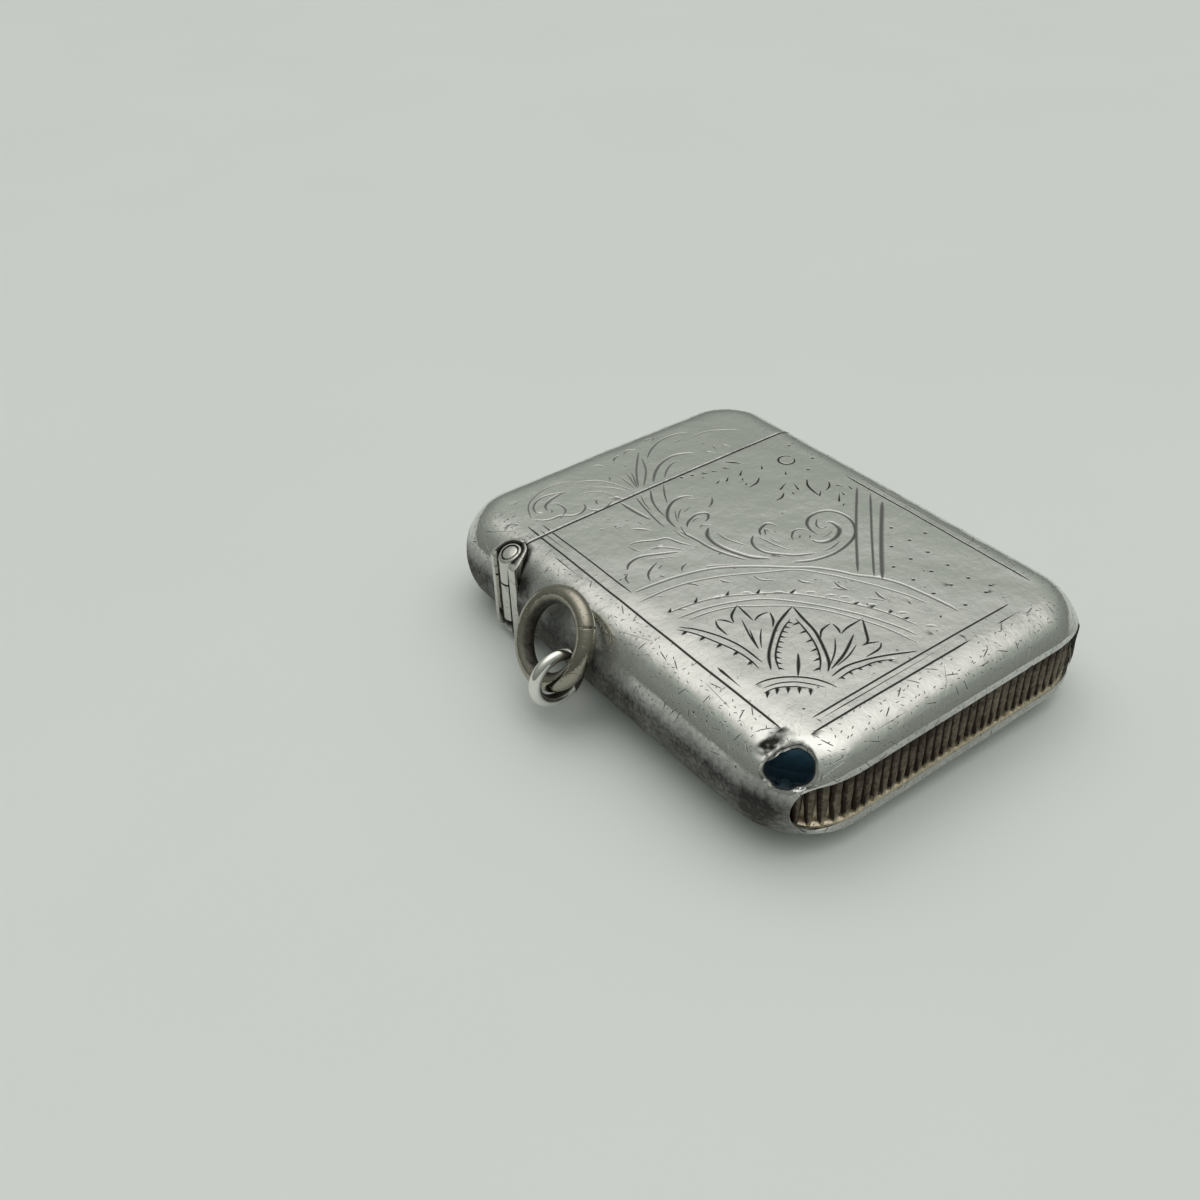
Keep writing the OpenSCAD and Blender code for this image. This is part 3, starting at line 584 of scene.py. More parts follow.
# %% Ornament on the lid
# Scroll at the hinge, the spray beside it and loose leaves.
LID_ORNAMENT = [
    (0.16, [(-12.24, 15.5), (-11.53, 17.04), (-10.57, 17.99), (-8.98, 18.68), (-7.38, 18.71),
        (-5.77, 18.07)]),
    (0.24, [(-10.92, 15.69), (-11.34, 16.03), (-11.09, 16.89), (-10.31, 17.55), (-9.18, 17.73),
        (-7.89, 17.33), (-7.22, 17.0)]),
    (0.36, [(-10.24, 15.56), (-10.36, 15.87), (-10.08, 16.5), (-9.29, 16.93), (-7.99, 17.19),
        (-7.36, 17.12)]),
    (0.24, [(-10.02, 15.72), (-10.2, 15.3), (-10.46, 15.31)]),
    (0.30, [(-12.24, 15.5), (-11.67, 14.74), (-10.85, 14.36), (-10.01, 14.31), (-9.18, 13.62),
        (-8.33, 13.56), (-7.57, 14.0), (-7.32, 14.66)]),
    (0.26, [(-9.87, 14.19), (-9.19, 14.69), (-9.02, 15.41), (-9.15, 16.17), (-9.51, 16.46)]),
    (0.30, [(-7.67, 13.87), (-7.3, 13.14), (-6.64, 12.82), (-5.83, 13.0), (-5.14, 13.31)]),
    (0.24, [(-6.53, 13.58), (-6.27, 14.24), (-5.86, 14.33)]),
    (0.16, [(-7.15, 15.83), (-6.03, 15.8), (-4.89, 14.86), (-4.66, 13.35)]),
    (0.34, [(-5.22, 13.81), (-4.55, 13.48), (-4.38, 12.81)]),
    (0.20, [(-2.45, 13.52), (-2.31, 15.21), (-2.28, 16.34)]),
    (0.20, [(-2.27, 13.59), (-1.59, 15.54), (-1.45, 16.34)]),
    (0.20, [(-2.3, 13.4), (-1.3, 15.3), (-0.97, 16.19)]),
    (0.24, [(-2.13, 13.48), (-0.43, 15.97), (1.76, 18.47)]),
    (0.24, [(-1.66, 13.32), (0.23, 15.43), (1.29, 17.4)]),
    (0.18, [(-2.8, 13.36), (-3.31, 15.13), (-4.18, 16.76), (-5.88, 17.92)]),
    (0.18, [(-3.05, 13.34), (-3.91, 14.95), (-5.24, 16.27)]),
    (0.36, [(-0.59, 13.34), (0.66, 14.61), (2.11, 15.52), (3.73, 15.86), (4.9, 15.47),
        (5.56, 15.07)]),
    (0.24, [(0.64, 13.24), (1.68, 14.23), (2.91, 14.86), (3.77, 14.86)]),
    (0.24, [(1.54, 16.95), (2.88, 18.03), (4.62, 18.82), (6.41, 18.86), (7.57, 18.4)]),
    (0.20, [(7.37, 17.55), (9.41, 17.23), (11.58, 15.84)]),
    (0.28, [(-1.15, 18.46), (-0.63, 18.99), (0.08, 19.13)]),
    (0.26, [(0.3, 18.95), (1.05, 19.3), (1.76, 18.95)]),
    (0.22, [(-3.17, 19.09), (-2.58, 18.93), (-2.21, 18.15)]),
    (0.26, [(3.03, 19.64), (3.84, 19.72), (4.46, 19.72)]), (0.22, [(4.46, 19.72), (3.98, 19.11)]),
    (0.24, [(5.36, 17.71), (6.72, 17.84)]), (0.20, [(-2.97, 16.67), (-3.42, 15.9)]),
    (0.26, [(6.56, 14.48), (7.18, 13.73)]), (0.24, [(7.74, 14.98), (7.5, 13.95)]),
    (0.34, [(8.54, 14.42), (8.95, 13.73)]), (0.24, [(-12.15, 18.41), (-11.35, 18.63)]),
    (0.24, [(-13.39, 16.86), (-12.67, 17.13)]), (0.34, [(-13.75, 15.9), (-13.45, 15.35)]),
    (0.24, [(-13.95, 17.75), (-13.59, 17.88)]), (0.24, [(-14.38, 16.0), (-13.68, 16.26)]),
]
print("lid ornament:", len(LID_ORNAMENT), "cuts")

# %% [markdown]
# ## From points to V cuts
# A cut is five chains of points: two edges, the bottom, and one half-way down each wall. It is
# about a third as deep as it is half wide, as a broad graver leaves it. Rows of teeth, ticks and
# dots repeat a shape, so a rule makes them. The cuts on the two sides of the seam are clipped to
# their own sheet.

# %% Curves, ticks and repeated cuts
CUT_STEP, TICK_STEP = 0.24, 0.09
WEDGE, WEDGE_WIDTH = [(0, 0), (0.42, -0.28), (0.8, -0.62)], 0.34
DOT, DOT_WIDTH = [(-0.2, 0.14), (0, 0), (0.2, -0.14)], 0.34
TOOTH_WIDTH = 0.36


def curve_through(points, step=CUT_STEP):
    """Smooth curve through the points, sampled about every step millimetres."""
    p = np.array(points, float)
    p = np.vstack([2 * p[0] - p[1], p, 2 * p[-1] - p[-2]])
    line = []
    for a, b, c, d in zip(p, p[1:], p[2:], p[3:]):
        count = max(2, round(np.linalg.norm(c - b) / step))
        for t in np.arange(count) / count:
            spot = 2 * b + (c - a) * t + (2 * a - 5 * b + 4 * c - d) * t ** 2
            line.append(0.5 * (spot + (3 * b - a - 3 * c + d) * t ** 3))
    return np.array(line + [p[-2]])


def gone_along(line):
    """Distance from the start of a line to each of its points."""
    return np.concatenate([[0], np.cumsum(np.linalg.norm(np.diff(line, axis=0), axis=1))])


def short_cuts(points, lean, length, pitch, width):
    """Short cuts that start on a line every pitch millimetres and lean one way."""
    line = curve_through(points)
    gone = gone_along(line)
    way = np.array(lean) / np.linalg.norm(lean) * length
    places = np.arange(pitch * 0.6, gone[-1] - pitch * 0.3, pitch)
    spots = np.stack([np.interp(places, gone, line[:, 0]), np.interp(places, gone, line[:, 1])], 1)
    return [(width, [tuple(spot), tuple(spot + way)]) for spot in spots]


def all_cuts():
    """Every cut on the front, as a width, its points and how much black is left in it; below full
    black, the black is painted shade on the wall away from the light.
    """
    groups = [
        (BORDERS, 1.0), (FRAME, 0.75), (BARBS, 0.9), (LEAF_GROUP, 1.0), (ACANTHUS, 0.85),
        (SCROLLS, 0.85), (BARS, 0.8), (SPRAYS, 1.0), (LID_ORNAMENT, 0.75),
    ]
    groups.append(([(WEDGE_WIDTH, [(x + u, y + v) for u, v in WEDGE]) for x, y in WEDGES], 0.6))
    groups.append(([(TOOTH_WIDTH, list(ends)) for ends in TEETH], 1.0))
    groups += [(short_cuts(*row), 1.0) for row in TICKED]
    groups.append(([(DOT_WIDTH, [(x + u, y + v) for u, v in DOT]) for x, y in GROUND_DOTS], 1.0))
    return [(width, points, black) for group, black in groups for width, points in group]


print("cuts drawn:", len(all_cuts()))

# %% Cuts on each side of the seam
TAPER, TICK_IN, TICK_OUT, SEAM_CLEAR = 1.2, 0.18, 0.82, 0.03


def sampled_cuts(is_lid):
    """Lines, half-widths and blackness of the cuts on one side of the seam."""
    side = 1 if is_lid else -1
    found = []
    for width, points, black in all_cuts():
        line = curve_through(points, CUT_STEP if len(points) > 2 else TICK_STEP)
        gone = gone_along(line)
        end = np.minimum(gone, gone[-1] - gone) / min(TAPER, gone[-1] / 2)
        half = width / 2 * np.sqrt(np.clip(end, 0, 1))
        if len(points) == 2:  # a tick is broad where the graver goes in
            part = gone / gone[-1]
            half = width / 2 * np.minimum(part / TICK_IN, (1 - part) / TICK_OUT)
        keep = side * (line[:, 1] - SEAM_Y) > SEAM_GAP / 2 + SEAM_CLEAR
        edges = np.flatnonzero(np.diff(np.concatenate([[0], keep.astype(int), [0]])))
        for first, last in zip(edges[::2], edges[1::2]):
            if last - first > 2:
                found.append((line[first:last], half[first:last], black))
    return found


body_cuts, lid_cuts = sampled_cuts(False), sampled_cuts(True)
print("cuts:", len(body_cuts), "on the body,", len(lid_cuts), "on the lid")

# %% [markdown]
# ## A century of wear
# The faces are not flat any more: they crown a little, ripple under the thumb and are rubbed down
# round the hole at one corner. All of it is a function of place only, so the inside and the
# outside of a sheet, and the two sheets at a join, move together and stay joined.

# %% The worn hole and the torn pit beside it
HOLE_AT = np.array((-15.05, -19.6, 7.65))
HOLE_OUT = np.array((-0.72, -0.53, 0.44))
HOLE_OUT /= np.linalg.norm(HOLE_OUT)
HOLE_RIGHT = np.array((0.593, -0.805, 0.0))
HOLE_RIGHT -= HOLE_RIGHT.dot(HOLE_OUT) * HOLE_OUT
HOLE_RIGHT /= np.linalg.norm(HOLE_RIGHT)
HOLE_UP = np.cross(HOLE_OUT, HOLE_RIGHT)
HOLE_EDGE = np.array([
    (-1.75, -0.45), (-1.58, 0.06), (-1.13, 0.62), (-0.45, 1.19), (0.11, 1.5), (0.68, 1.55),
    (1.24, 1.36), (1.64, 0.9), (1.75, 0.28), (1.69, -0.4), (1.36, -0.9), (0.68, -1.19),
    (0.0, -1.47), (-0.56, -1.47), (-1.13, -1.13), (-1.58, -0.79),
])
EDGE_TURN = np.arctan2(HOLE_EDGE[:, 1], HOLE_EDGE[:, 0])
EDGE_ORDER = np.argsort(EDGE_TURN)
HOLE_NEAR = 2.2
PIT_AT, PIT_WAY, PIT_LONG, PIT_WIDE, PIT_OFF = (-1.25, 1.22), (0.74, 0.67), 1.05, 0.5, 0.18
RIDGE_WIDE, RIDGE_OFF = 0.14, -0.38


def hole_radius(turn):
    """Distance from the middle of the worn hole to its edge."""
    reach = np.hypot(*HOLE_EDGE.T)[EDGE_ORDER]
    return np.interp(turn, EDGE_TURN[EDGE_ORDER], reach, period=2 * math.pi)


def hole_wear(points):
    """Which points lie near the hole, how far from its edge, and their share of pit and ridge."""
    away = points - HOLE_AT
    u, v, h = away @ HOLE_RIGHT, away @ HOLE_UP, away @ HOLE_OUT
    near = np.abs(h) < HOLE_NEAR
    gap = np.hypot(u, v) - hole_radius(np.arctan2(v, u))
    along = PIT_WAY[0] * (u - PIT_AT[0]) + PIT_WAY[1] * (v - PIT_AT[1])
    side = -PIT_WAY[1] * (u - PIT_AT[0]) + PIT_WAY[0] * (v - PIT_AT[1])
    end = np.where(near, np.exp(-(along / PIT_LONG) ** 4), 0)
    pit = end * np.exp(-((side - PIT_OFF) / PIT_WIDE) ** 4)
    ridge = end * np.exp(-((side - RIDGE_OFF) / RIDGE_WIDE) ** 2)
    return near, gap, pit, ridge


print("worn hole", round(2 * float(hole_radius(np.array([0.0]))[0]), 2), "mm across")

# %% Wear of the sheets
CROWN, RIPPLE, SEAM_EASE = 0.1, 0.05, 0.05
SIDE_RUB, SIDE_RUB_FROM, SIDE_RUB_TO = 0.06, 3.0, 5.1
END_RUB, END_RUB_AT, END_RUB_RUN = 0.053, 3.35, 0.35
DENTS, SMALL_DENTS, ROLL_X, ROLL_Y = 0.030, 0.014, 12.5, 18.3
HOLE_RUB, HOLE_RUB_RUN = 0.10, 1.1


def ramp(value, start, run):
    """Rises from 0 at start to 1 after the run; a negative run goes the other way."""
    return np.clip((value - start) / run, 0, 1)


def waves(points, scale):
    """Smooth noise between about -1 and 1 at each point."""
    return np.array([noise.noise(Vector(p) * scale) for p in points])


def wear(points):
    """Moves the points of a sheet, in millimetres, to their worn places."""
    moved = points.copy()
    x, y, z = points.T
    lift = (z - HALF) / HALF
    face = np.sign(lift) * np.clip(np.abs(lift) * 2 - 1, 0, 1)
    # The faces crown and ripple.
    ripple = waves(points, 0.16) + 0.5 * waves(points, 0.37)
    crown = CROWN * ((x / FLAT_X) ** 2 + (y / FLAT_Y) ** 2)
    moved[:, 2] -= face * (crown + RIPPLE * np.abs(ripple + 0.3))
    # They are rubbed to a slope along the hinge side and at the striker's end.
    left, near_end = x + SIDE, y + END
    rub = SIDE_RUB * (0.25 + 0.75 * ramp(y, 5, -7))
    bend = [np.log1p(np.exp(-5 * (left - at))) for at in (SIDE_RUB_TO, SIDE_RUB_FROM)]
    slope = rub * 0.4 * (bend[0] - bend[1])
    moved[:, 2] -= face * (slope + END_RUB * (1 - np.tanh((near_end - END_RUB_AT) / END_RUB_RUN)))
    # Small dents go in and out, mostly on the rolls.
    limits = ((-FLAT_X, FLAT_X), (-FLAT_Y, FLAT_Y), (SHOULDER_R, 2 * HALF - SHOULDER_R))
    out = points - np.stack([np.clip(v, *ends) for v, ends in zip((x, y, z), limits)], 1)
    out /= np.maximum(np.linalg.norm(out, axis=1), 1e-6)[:, None]
    dents = DENTS * waves(points, 0.45) + SMALL_DENTS * waves(points, 1.1)
    on_roll = np.clip(np.maximum(np.abs(x) - ROLL_X, np.abs(y) - ROLL_Y) / 2, 0.25, 1)
    moved += out * (dents * on_roll)[:, None]
    # The edges of the seam are eased.
    soft = np.clip(1 - (np.abs(y - SEAM_Y) - SEAM_GAP / 2) / SEAM_EDGE, 0, 1)
    moved[:, 2] -= SEAM_EASE * soft * face
    moved[:, 0] -= SEAM_EASE * soft * np.sign(x) * ramp(np.abs(x), 14, 3.2)
    # Round the hole the skin is rubbed in, and torn to a pit with a curled ridge.
    near, gap, pit, ridge = hole_wear(points)
    rub = np.where(near, np.exp(-(np.clip(gap, 0, None) / HOLE_RUB_RUN) ** 2), 0)
    rough = waves(points, 2.6)
    sunk = HOLE_RUB * rub + pit * (0.26 + 0.16 * rough) - ridge * (0.20 + 0.12 * rough)
    moved -= np.outer(sunk, HOLE_OUT)
    return moved


worn_corner = wear(np.array([(FLAT_X, FLAT_Y, 2 * HALF)]))[0]
print("corner of the face sinks by", round(2 * HALF - worn_corner[2], 3), "mm")

# %% [markdown]
# ## Making a sheet
# The rolled edge is a regular grid of rows and columns. The face inside it is triangulated with
# the cuts as lines that the triangles must keep, so every V has real walls and a sharp bottom.
# The inner skin, the rim at the seam and the joint line close it to a solid of 0.5 mm sheet.

# %% Plan depth and the depth of a cut
# Where a cut keeps less than full black, the black is painted shade on the wall that looks away
# from the light.
CUT_SLOPE, CUT_DEEPEST, SHADED_CUT_WALL = 0.36, 0.13, np.array((-0.84, -0.55))


def plan_depth(x, y):
    """Distance in from the plan outline."""
    far = np.abs(x)
    depth = np.minimum(SIDE - far, np.minimum(y + END, END - y))
    base = BASE_R - np.hypot(far - BASE_X, y - BASE_Y)
    depth = np.where((far > BASE_X) & (y < BASE_Y), base, depth)
    return np.where((far > LID_X) & (y > LID_Y), LID_R - np.hypot(far - LID_X, y - LID_Y), depth)


def face_height(depth):
    """Height of the outer skin off the mid-plane, from the shoulder inwards."""
    return SHOULDER_Z + np.sqrt(SHOULDER_R ** 2 - np.clip(ROLL - depth, 0, SHOULDER_R) ** 2)


def cut_depth(x, y, cuts):
    """Depth of the engraving at each place, and how black it is there: dirt in the cut, and painted
    shade on its wall away from the light.
    """
    deepest, cut_black_and_shade = np.zeros(len(x)), np.zeros(len(x))
    for line, half, black in cuts:
        low, high = line.min(0) - half.max(), line.max(0) + half.max()
        close = np.flatnonzero((x > low[0]) & (x < high[0]) & (y > low[1]) & (y < high[1]))
        if not len(close):
            continue
        spot = np.stack([x[close], y[close]], 1)[:, None, :]
        start, way = line[:-1][None], np.diff(line, axis=0)[None]
        run = ((spot - start) * way).sum(2)
        share = np.clip(run / np.maximum((way ** 2).sum(2), 1e-9), 0, 1)
        aside = spot - start - share[..., None] * way
        wide = half[:-1] + share * np.diff(half)
        inside = wide - np.linalg.norm(aside, axis=2)
        nearest = (np.arange(len(close)), inside.argmax(1))
        wide, inside = np.maximum(wide[nearest], 1e-6), inside[nearest]
        deepest[close] = np.maximum(deepest[close], CUT_SLOPE * np.clip(inside, 0, None))
        lean = 1 + 1.1 * (aside[nearest] @ SHADED_CUT_WALL) / wide
        shade = black * (1 if black == 1 else np.clip(lean, 0, 1))
        cut_black_and_shade[close] = np.maximum(cut_black_and_shade[close], shade * np.clip(inside / (0.4 * wide), 0, 1))
    return np.clip(deepest, 0, CUT_DEEPEST), cut_black_and_shade


print("face lies", face_height(ROLL), "mm off the mid-plane")

# %% Triangulate the engraved face
FACE_STEP, RIM_STEP = 0.55, 0.2


def face_triangles(ring, is_lid, cuts):
    """Points and triangles of the face inside the rolled edge, with the cuts as kept lines."""
    side = 1 if is_lid else -1
    seam = SEAM_Y + side * SEAM_GAP / 2
    span = abs(ring[0][0])
    across = np.arange(-span + RIM_STEP, span - RIM_STEP / 2, RIM_STEP)
    spots = [tuple(p) for p in ring] + [(x, seam) for x in sorted(across, reverse=not is_lid)]
    lines = [(i, (i + 1) % len(spots)) for i in range(len(spots))]
    spots += [(x, seam + side * SEAM_EDGE) for x in across]
    deep = plan_depth(*np.array(ring).T).mean()
    columns, rows = np.arange(-14.6, 14.7, FACE_STEP), np.arange(-21, 21.1, FACE_STEP)
    grid = np.stack(np.meshgrid(columns, rows), -1).reshape(-1, 2)
    inside = plan_depth(grid[:, 0], grid[:, 1]) > deep + 0.2
    spots += [tuple(p) for p in grid[inside & (side * (grid[:, 1] - seam) > 0.3)]]
    for line, half, _ in cuts:
        way = np.gradient(line, axis=0)
        length = np.maximum(np.linalg.norm(way, axis=1), 1e-9)[:, None]
        normal = np.stack([-way[:, 1], way[:, 0]], 1) / length
        for offset in (-1, -0.5, 0, 0.5, 1):
            chain = line + normal * (half * offset)[:, None]
            chain[:, 1] = side * np.maximum(side * chain[:, 1], side * seam + 0.04)
            first = len(spots)
            spots += [tuple(p) for p in chain]
            lines += [(first + i, first + i + 1) for i in range(len(chain) - 1)]
    points, _, faces, *_ = delaunay_2d_cdt([Vector(p) for p in spots], lines, [], 1, 1e-5)
    return np.array([p[:] for p in points]), faces


print("face points stand", FACE_STEP, "mm apart between the cuts")

# %% Weld a mesh
WELD_GAP, SLIVER = 0.0015, 0.0002


@contextmanager
def opened(mesh):
    """Opens a mesh for changes and writes them back."""
    shape = bmesh.new()
    shape.from_mesh(mesh)
    yield shape
    shape.to_mesh(mesh)
    shape.free()


def placed(name, mesh):
    """Object of a mesh, in the scene."""
    piece = bpy.data.objects.new(name, mesh)
    scene.collection.objects.link(piece)
    return piece


def weld(name, corners, faces, kinds, materials):
    """A welded mesh object from millimetre corners; kinds are the faces' material numbers."""
    mesh = bpy.data.meshes.new(name)
    mesh.from_pydata((np.asarray(corners) * MM).tolist(), [], faces)
    mesh.polygons.foreach_set("material_index", kinds)
    for material in materials:
        mesh.materials.append(material)
    with opened(mesh) as shape:
        bmesh.ops.remove_doubles(shape, verts=shape.verts, dist=WELD_GAP * MM)
        bmesh.ops.dissolve_degenerate(shape, edges=shape.edges, dist=SLIVER * MM)
        open_edges = sum(1 for e in shape.edges if len(e.link_faces) != 2)
    print(name, len(mesh.vertices), "points,", open_edges, "open edges")
    return placed(name, mesh)


# %% Close a sheet to a solid
OUTER_ROWS, INNER_ROWS = 36, 16


def half_sheet(name, is_lid, is_front, cuts, materials):
    """One of the four stampings: rolled edge, face, inner skin and rims."""
    outline, inward = edge_walk(is_lid)
    count = len(outline)
    corners, faces, kinds = [], [], []

    def skin(last_angle, total, inset, kind):
        """Rows of the outer or inner skin, with the faces between them; returns the first point."""
        first = len(corners)
        for angle in np.linspace(0, last_angle, total):
            depth, height = roll_point(angle, inset)
            corners.extend((*(outline[i] + depth * inward[i]), height) for i in range(count))
        for j in range(total - 1):
            for a in range(first + j * count, first + (j + 1) * count - 1):
                quad = (a, a + 1, a + count + 1, a + count)
                faces.append(quad[::-1] if inset else quad)
                kinds.append(kind)
        return first

    outer = skin(FACE_ANGLE, OUTER_ROWS, 0, 0)
    ring = [corners[outer + (OUTER_ROWS - 1) * count + i][:2] for i in range(count)]
    spots, triangles = face_triangles(ring, is_lid, cuts)
    face = len(corners)
    x, y = spots.T
    height = face_height(plan_depth(x, y)) - cut_depth(x, y, cuts)[0]
    corners.extend(zip(x, y, height))
    faces.extend(tuple(face + i for i in t) for t in triangles)
    kinds.extend(0 for _ in triangles)
    inner = skin(90, INNER_ROWS, WALL, 1)
    faces.append(tuple(inner + (INNER_ROWS - 1) * count + i for i in range(count))[::-1])
    kinds.append(1)
    for i in range(count - 1):
        faces.append((outer + i + 1, outer + i, inner + i, inner + i + 1))
        kinds.append(0)
    # The rim at the seam is one outline round the sheet's section, filled with triangles.
    seam = SEAM_Y + (1 if is_lid else -1) * SEAM_GAP / 2
    along = [face + i for i in np.flatnonzero(np.abs(y - seam) < 1e-5)]
    along = sorted(along, key=lambda i: corners[i][0])[1:-1]
    start, stop = (count - 1, 0) if is_lid else (0, count - 1)
    rim = [outer + j * count + start for j in range(OUTER_ROWS)] + along
    rim += [outer + j * count + stop for j in reversed(range(OUTER_ROWS))]
    rim += [inner + j * count + stop for j in range(INNER_ROWS)]
    rim += [inner + j * count + start for j in reversed(range(INNER_ROWS))]
    for t in tessellate_polygon([[Vector((corners[i][0], corners[i][2], 0)) for i in rim]]):
        a, b, c = (rim[i] for i in t)
        p, q, r = (Vector(corners[i]) for i in (a, b, c))
        faces.append((a, b, c) if ((q - p).cross(r - p).y > 0) != is_lid else (a, c, b))
        kinds.append(0)
    corners = np.array(corners)
    corners[:, 2] = HALF + (corners[:, 2] if is_front else -corners[:, 2])
    faces = faces if is_front else [f[::-1] for f in faces]
    return weld(name, wear(corners), faces, kinds, materials)


front_finish, back_finish = [engraved_silver, inside_and_hole_shade_silver], [plain_silver, inside_and_hole_shade_silver]
body_front = half_sheet("body_front_sheet", False, True, body_cuts, front_finish)
lid_front = half_sheet("lid_front_sheet", True, True, lid_cuts, front_finish)
body_back = half_sheet("body_back_sheet", False, False, [], back_finish)
lid_back = half_sheet("lid_back_sheet", True, False, [], back_finish)

# %% [markdown]
# ## Slot, worn hole and hinge notch
# The sheets are opened in three places: the oblong window of the striker with a bevelled lip, the
# hole rubbed at the corner, and the notch for the hinge. The window and the notch go through. The
# hole's cutter stops at a curved floor below the skin, and that floor takes the blue-black inside
# finish as painted shade of the inside seen through the hole. A boolean with a shaped cutter does
# each in one go, and the cutter's form leaves the bevels.

# %% Solids through rings of points
def quads(total, count, closed=False):
    """Faces between neighbouring rings of points; closed joins the last ring to the first."""
    faces = []
    for j in range(total if closed else total - 1):
        a, b = j * count, (j + 1) % total * count
        for i in range(count):
            k = (i + 1) % count
            faces.append((a + i, a + k, b + k, b + i))
    return faces


def face_out(piece):
    """Turns the faces of a closed piece outwards."""
    with opened(piece.data) as shape:
        bmesh.ops.recalc_face_normals(shape, faces=shape.faces)
    return piece


def loft(name, rings, dark=0):
    """A closed solid through rings of equal length, in millimetres; its first bands may be dark."""
    count, total = len(rings[0]), len(rings)
    corners = np.concatenate(rings)
    ends = [tuple(range(count))[::-1], tuple(range(len(corners) - count, len(corners)))]
    kinds = [int(dark > 0), 0] + [int(j < dark) for j in range(total - 1) for _ in range(count)]
    return face_out(weld(name, corners, ends + quads(total, count), kinds, front_finish))


# %% Cutter of the window
SLOT_R, SLOT_X, SLOT_ARC = 2.1, 13.4, 25
LIP, LIP_DEPTH, LIP_EASE = 1.4, 0.82, 0.06
LIP_ENDS, LIP_FADE = 14.9, 3.4


def slot_ring(grow, depth, y=None):
    """Outline of the slot, grown, at a fixed y or on a wall so deep behind the outline."""
    turns = np.radians(np.concatenate([np.linspace(a, a + 180, SLOT_ARC) for a in (-90, 90)]))
    ends = np.repeat([1, -1], SLOT_ARC)
    arc = np.stack([ends * SLOT_X + SLOT_R * np.cos(turns), SLOT_R * np.sin(turns)], 1)
    pieces = []
    for a, b in zip(arc, np.roll(arc, -1, axis=0)):
        steps = max(1, round(np.linalg.norm(b - a) / 0.25))
        pieces += [a + (b - a) * s / steps for s in range(steps)]
    x, z = np.array(pieces).T
    # The lip is broad along the straight end and narrows to nothing round the corners.
    fade = ramp(np.abs(x), LIP_ENDS, -LIP_FADE)
    out = np.stack([x - np.clip(x, -SLOT_X, SLOT_X), z], 1) / SLOT_R
    x, z = (np.stack([x, z], 1) + out * (grow * (0.06 + 0.94 * fade))[:, None]).T
    if y is None:
        wall = BASE_R - depth * (0.5 + 0.5 * fade)
        past = np.clip(np.abs(x) - BASE_X, 0, None)
        round_end = BASE_Y - np.sqrt(np.clip(wall ** 2 - past ** 2, 0.3, None))
        y = np.where(np.abs(x) < BASE_X, BASE_Y - wall, round_end)
    return np.stack([x, y + 0 * x, z + HALF], 1)


slot_cutter = loft("slot_cutter", [
    slot_ring(LIP, 0, -END - 3), slot_ring(LIP, LIP_DEPTH), slot_ring(0.05, LIP_DEPTH),
    slot_ring(0.0, LIP_DEPTH + LIP_EASE), slot_ring(0.0, 0, -15.0),
])

# %% Cutter of the worn hole
HOLE_POINTS = 72


def skin_height(flat):
    """Height of the skin over the hole's own plane, found by halving."""
    low, high = np.full(HOLE_POINTS, -1.6), np.full(HOLE_POINTS, 1.0)
    for _ in range(24):
        middle = (low + high) / 2
        spot = flat + np.outer(middle, HOLE_OUT)
        depth, height = plan_depth(spot[:, 0], spot[:, 1]), spot[:, 2] - HALF
        side = SIDE_R - np.sqrt(np.clip(SIDE_R ** 2 - height ** 2, 0, None))
        shoulder = ROLL - np.sqrt(np.clip(SHOULDER_R ** 2 - (height - SHOULDER_Z) ** 2, 0, None))
        outside = (depth < np.where(height < SHOULDER_Z, side, shoulder)) | (height > HALF)
        high, low = np.where(outside, middle, high), np.where(outside, low, middle)
    return low


def hole_ring(grow, sink, follow=True, share=1.0):
    """Outline of the worn hole, grown, below the skin or at a fixed height."""
    turns = np.linspace(-math.pi, math.pi, HOLE_POINTS, endpoint=False)
    ragged = 0.10 * waves([(3 * math.cos(t), 3 * math.sin(t), 0.7) for t in turns], 1)
    reach = (hole_radius(turns) + grow + ragged) * share
    right, rise = reach * np.cos(turns), reach * np.sin(turns)
    flat = HOLE_AT + np.outer(right, HOLE_RIGHT) + np.outer(rise, HOLE_UP)
    if not follow:
        return flat + sink * HOLE_OUT
    # The sheet is thinner towards the striker, so the pocket is shallower there.
    thin = np.clip(1 + rise / 1.45, 0.3, 1)
    return wear(flat + np.outer(skin_height(flat), HOLE_OUT)) + np.outer(sink * thin, HOLE_OUT)


# The floor of the pocket is painted shade: it takes the blue-black inside finish.
painted_shade_floor = [hole_ring(0.0, -0.30, share=share) for share in (0.03, 0.25, 0.5, 0.75, 0.92, 1.0)]
lip = [hole_ring(*row) for row in ((0.02, -0.24), (0.07, -0.17), (0.18, -0.09), (0.32, 0.02))]
hole_cutter = loft("hole_cutter", painted_shade_floor + lip + [hole_ring(0.5, 1.6, False)], len(painted_shade_floor))

# %% Cutter of the hinge notch
# Outline of each hinge boss, in millimetres from the pin: a round end, then a bar to the side.
BODY_BOSS_R, LID_BOSS_R, BOSS_X, NOTCH_GROW = 1.45, 1.62, 1.75, 1.04
BODY_BAR = [(0.42, 1.46), (0.1, 1.62), (-0.3, 1.83), (-0.65, 1.95), (-0.9, 1.92), (-1.0, 1.75)]
LID_BAR = [(-0.2, 1.63), (-0.5, 1.66), (-0.8, 1.66), (-0.94, 1.6), (-1.0, 1.48)]


def arc_points(radius, first, last, count):
    """Points on a circle about the pin."""
    turns = [math.radians(a) for a in np.linspace(first, last, count)]
    return [(radius * math.cos(a), radius * math.sin(a)) for a in turns]


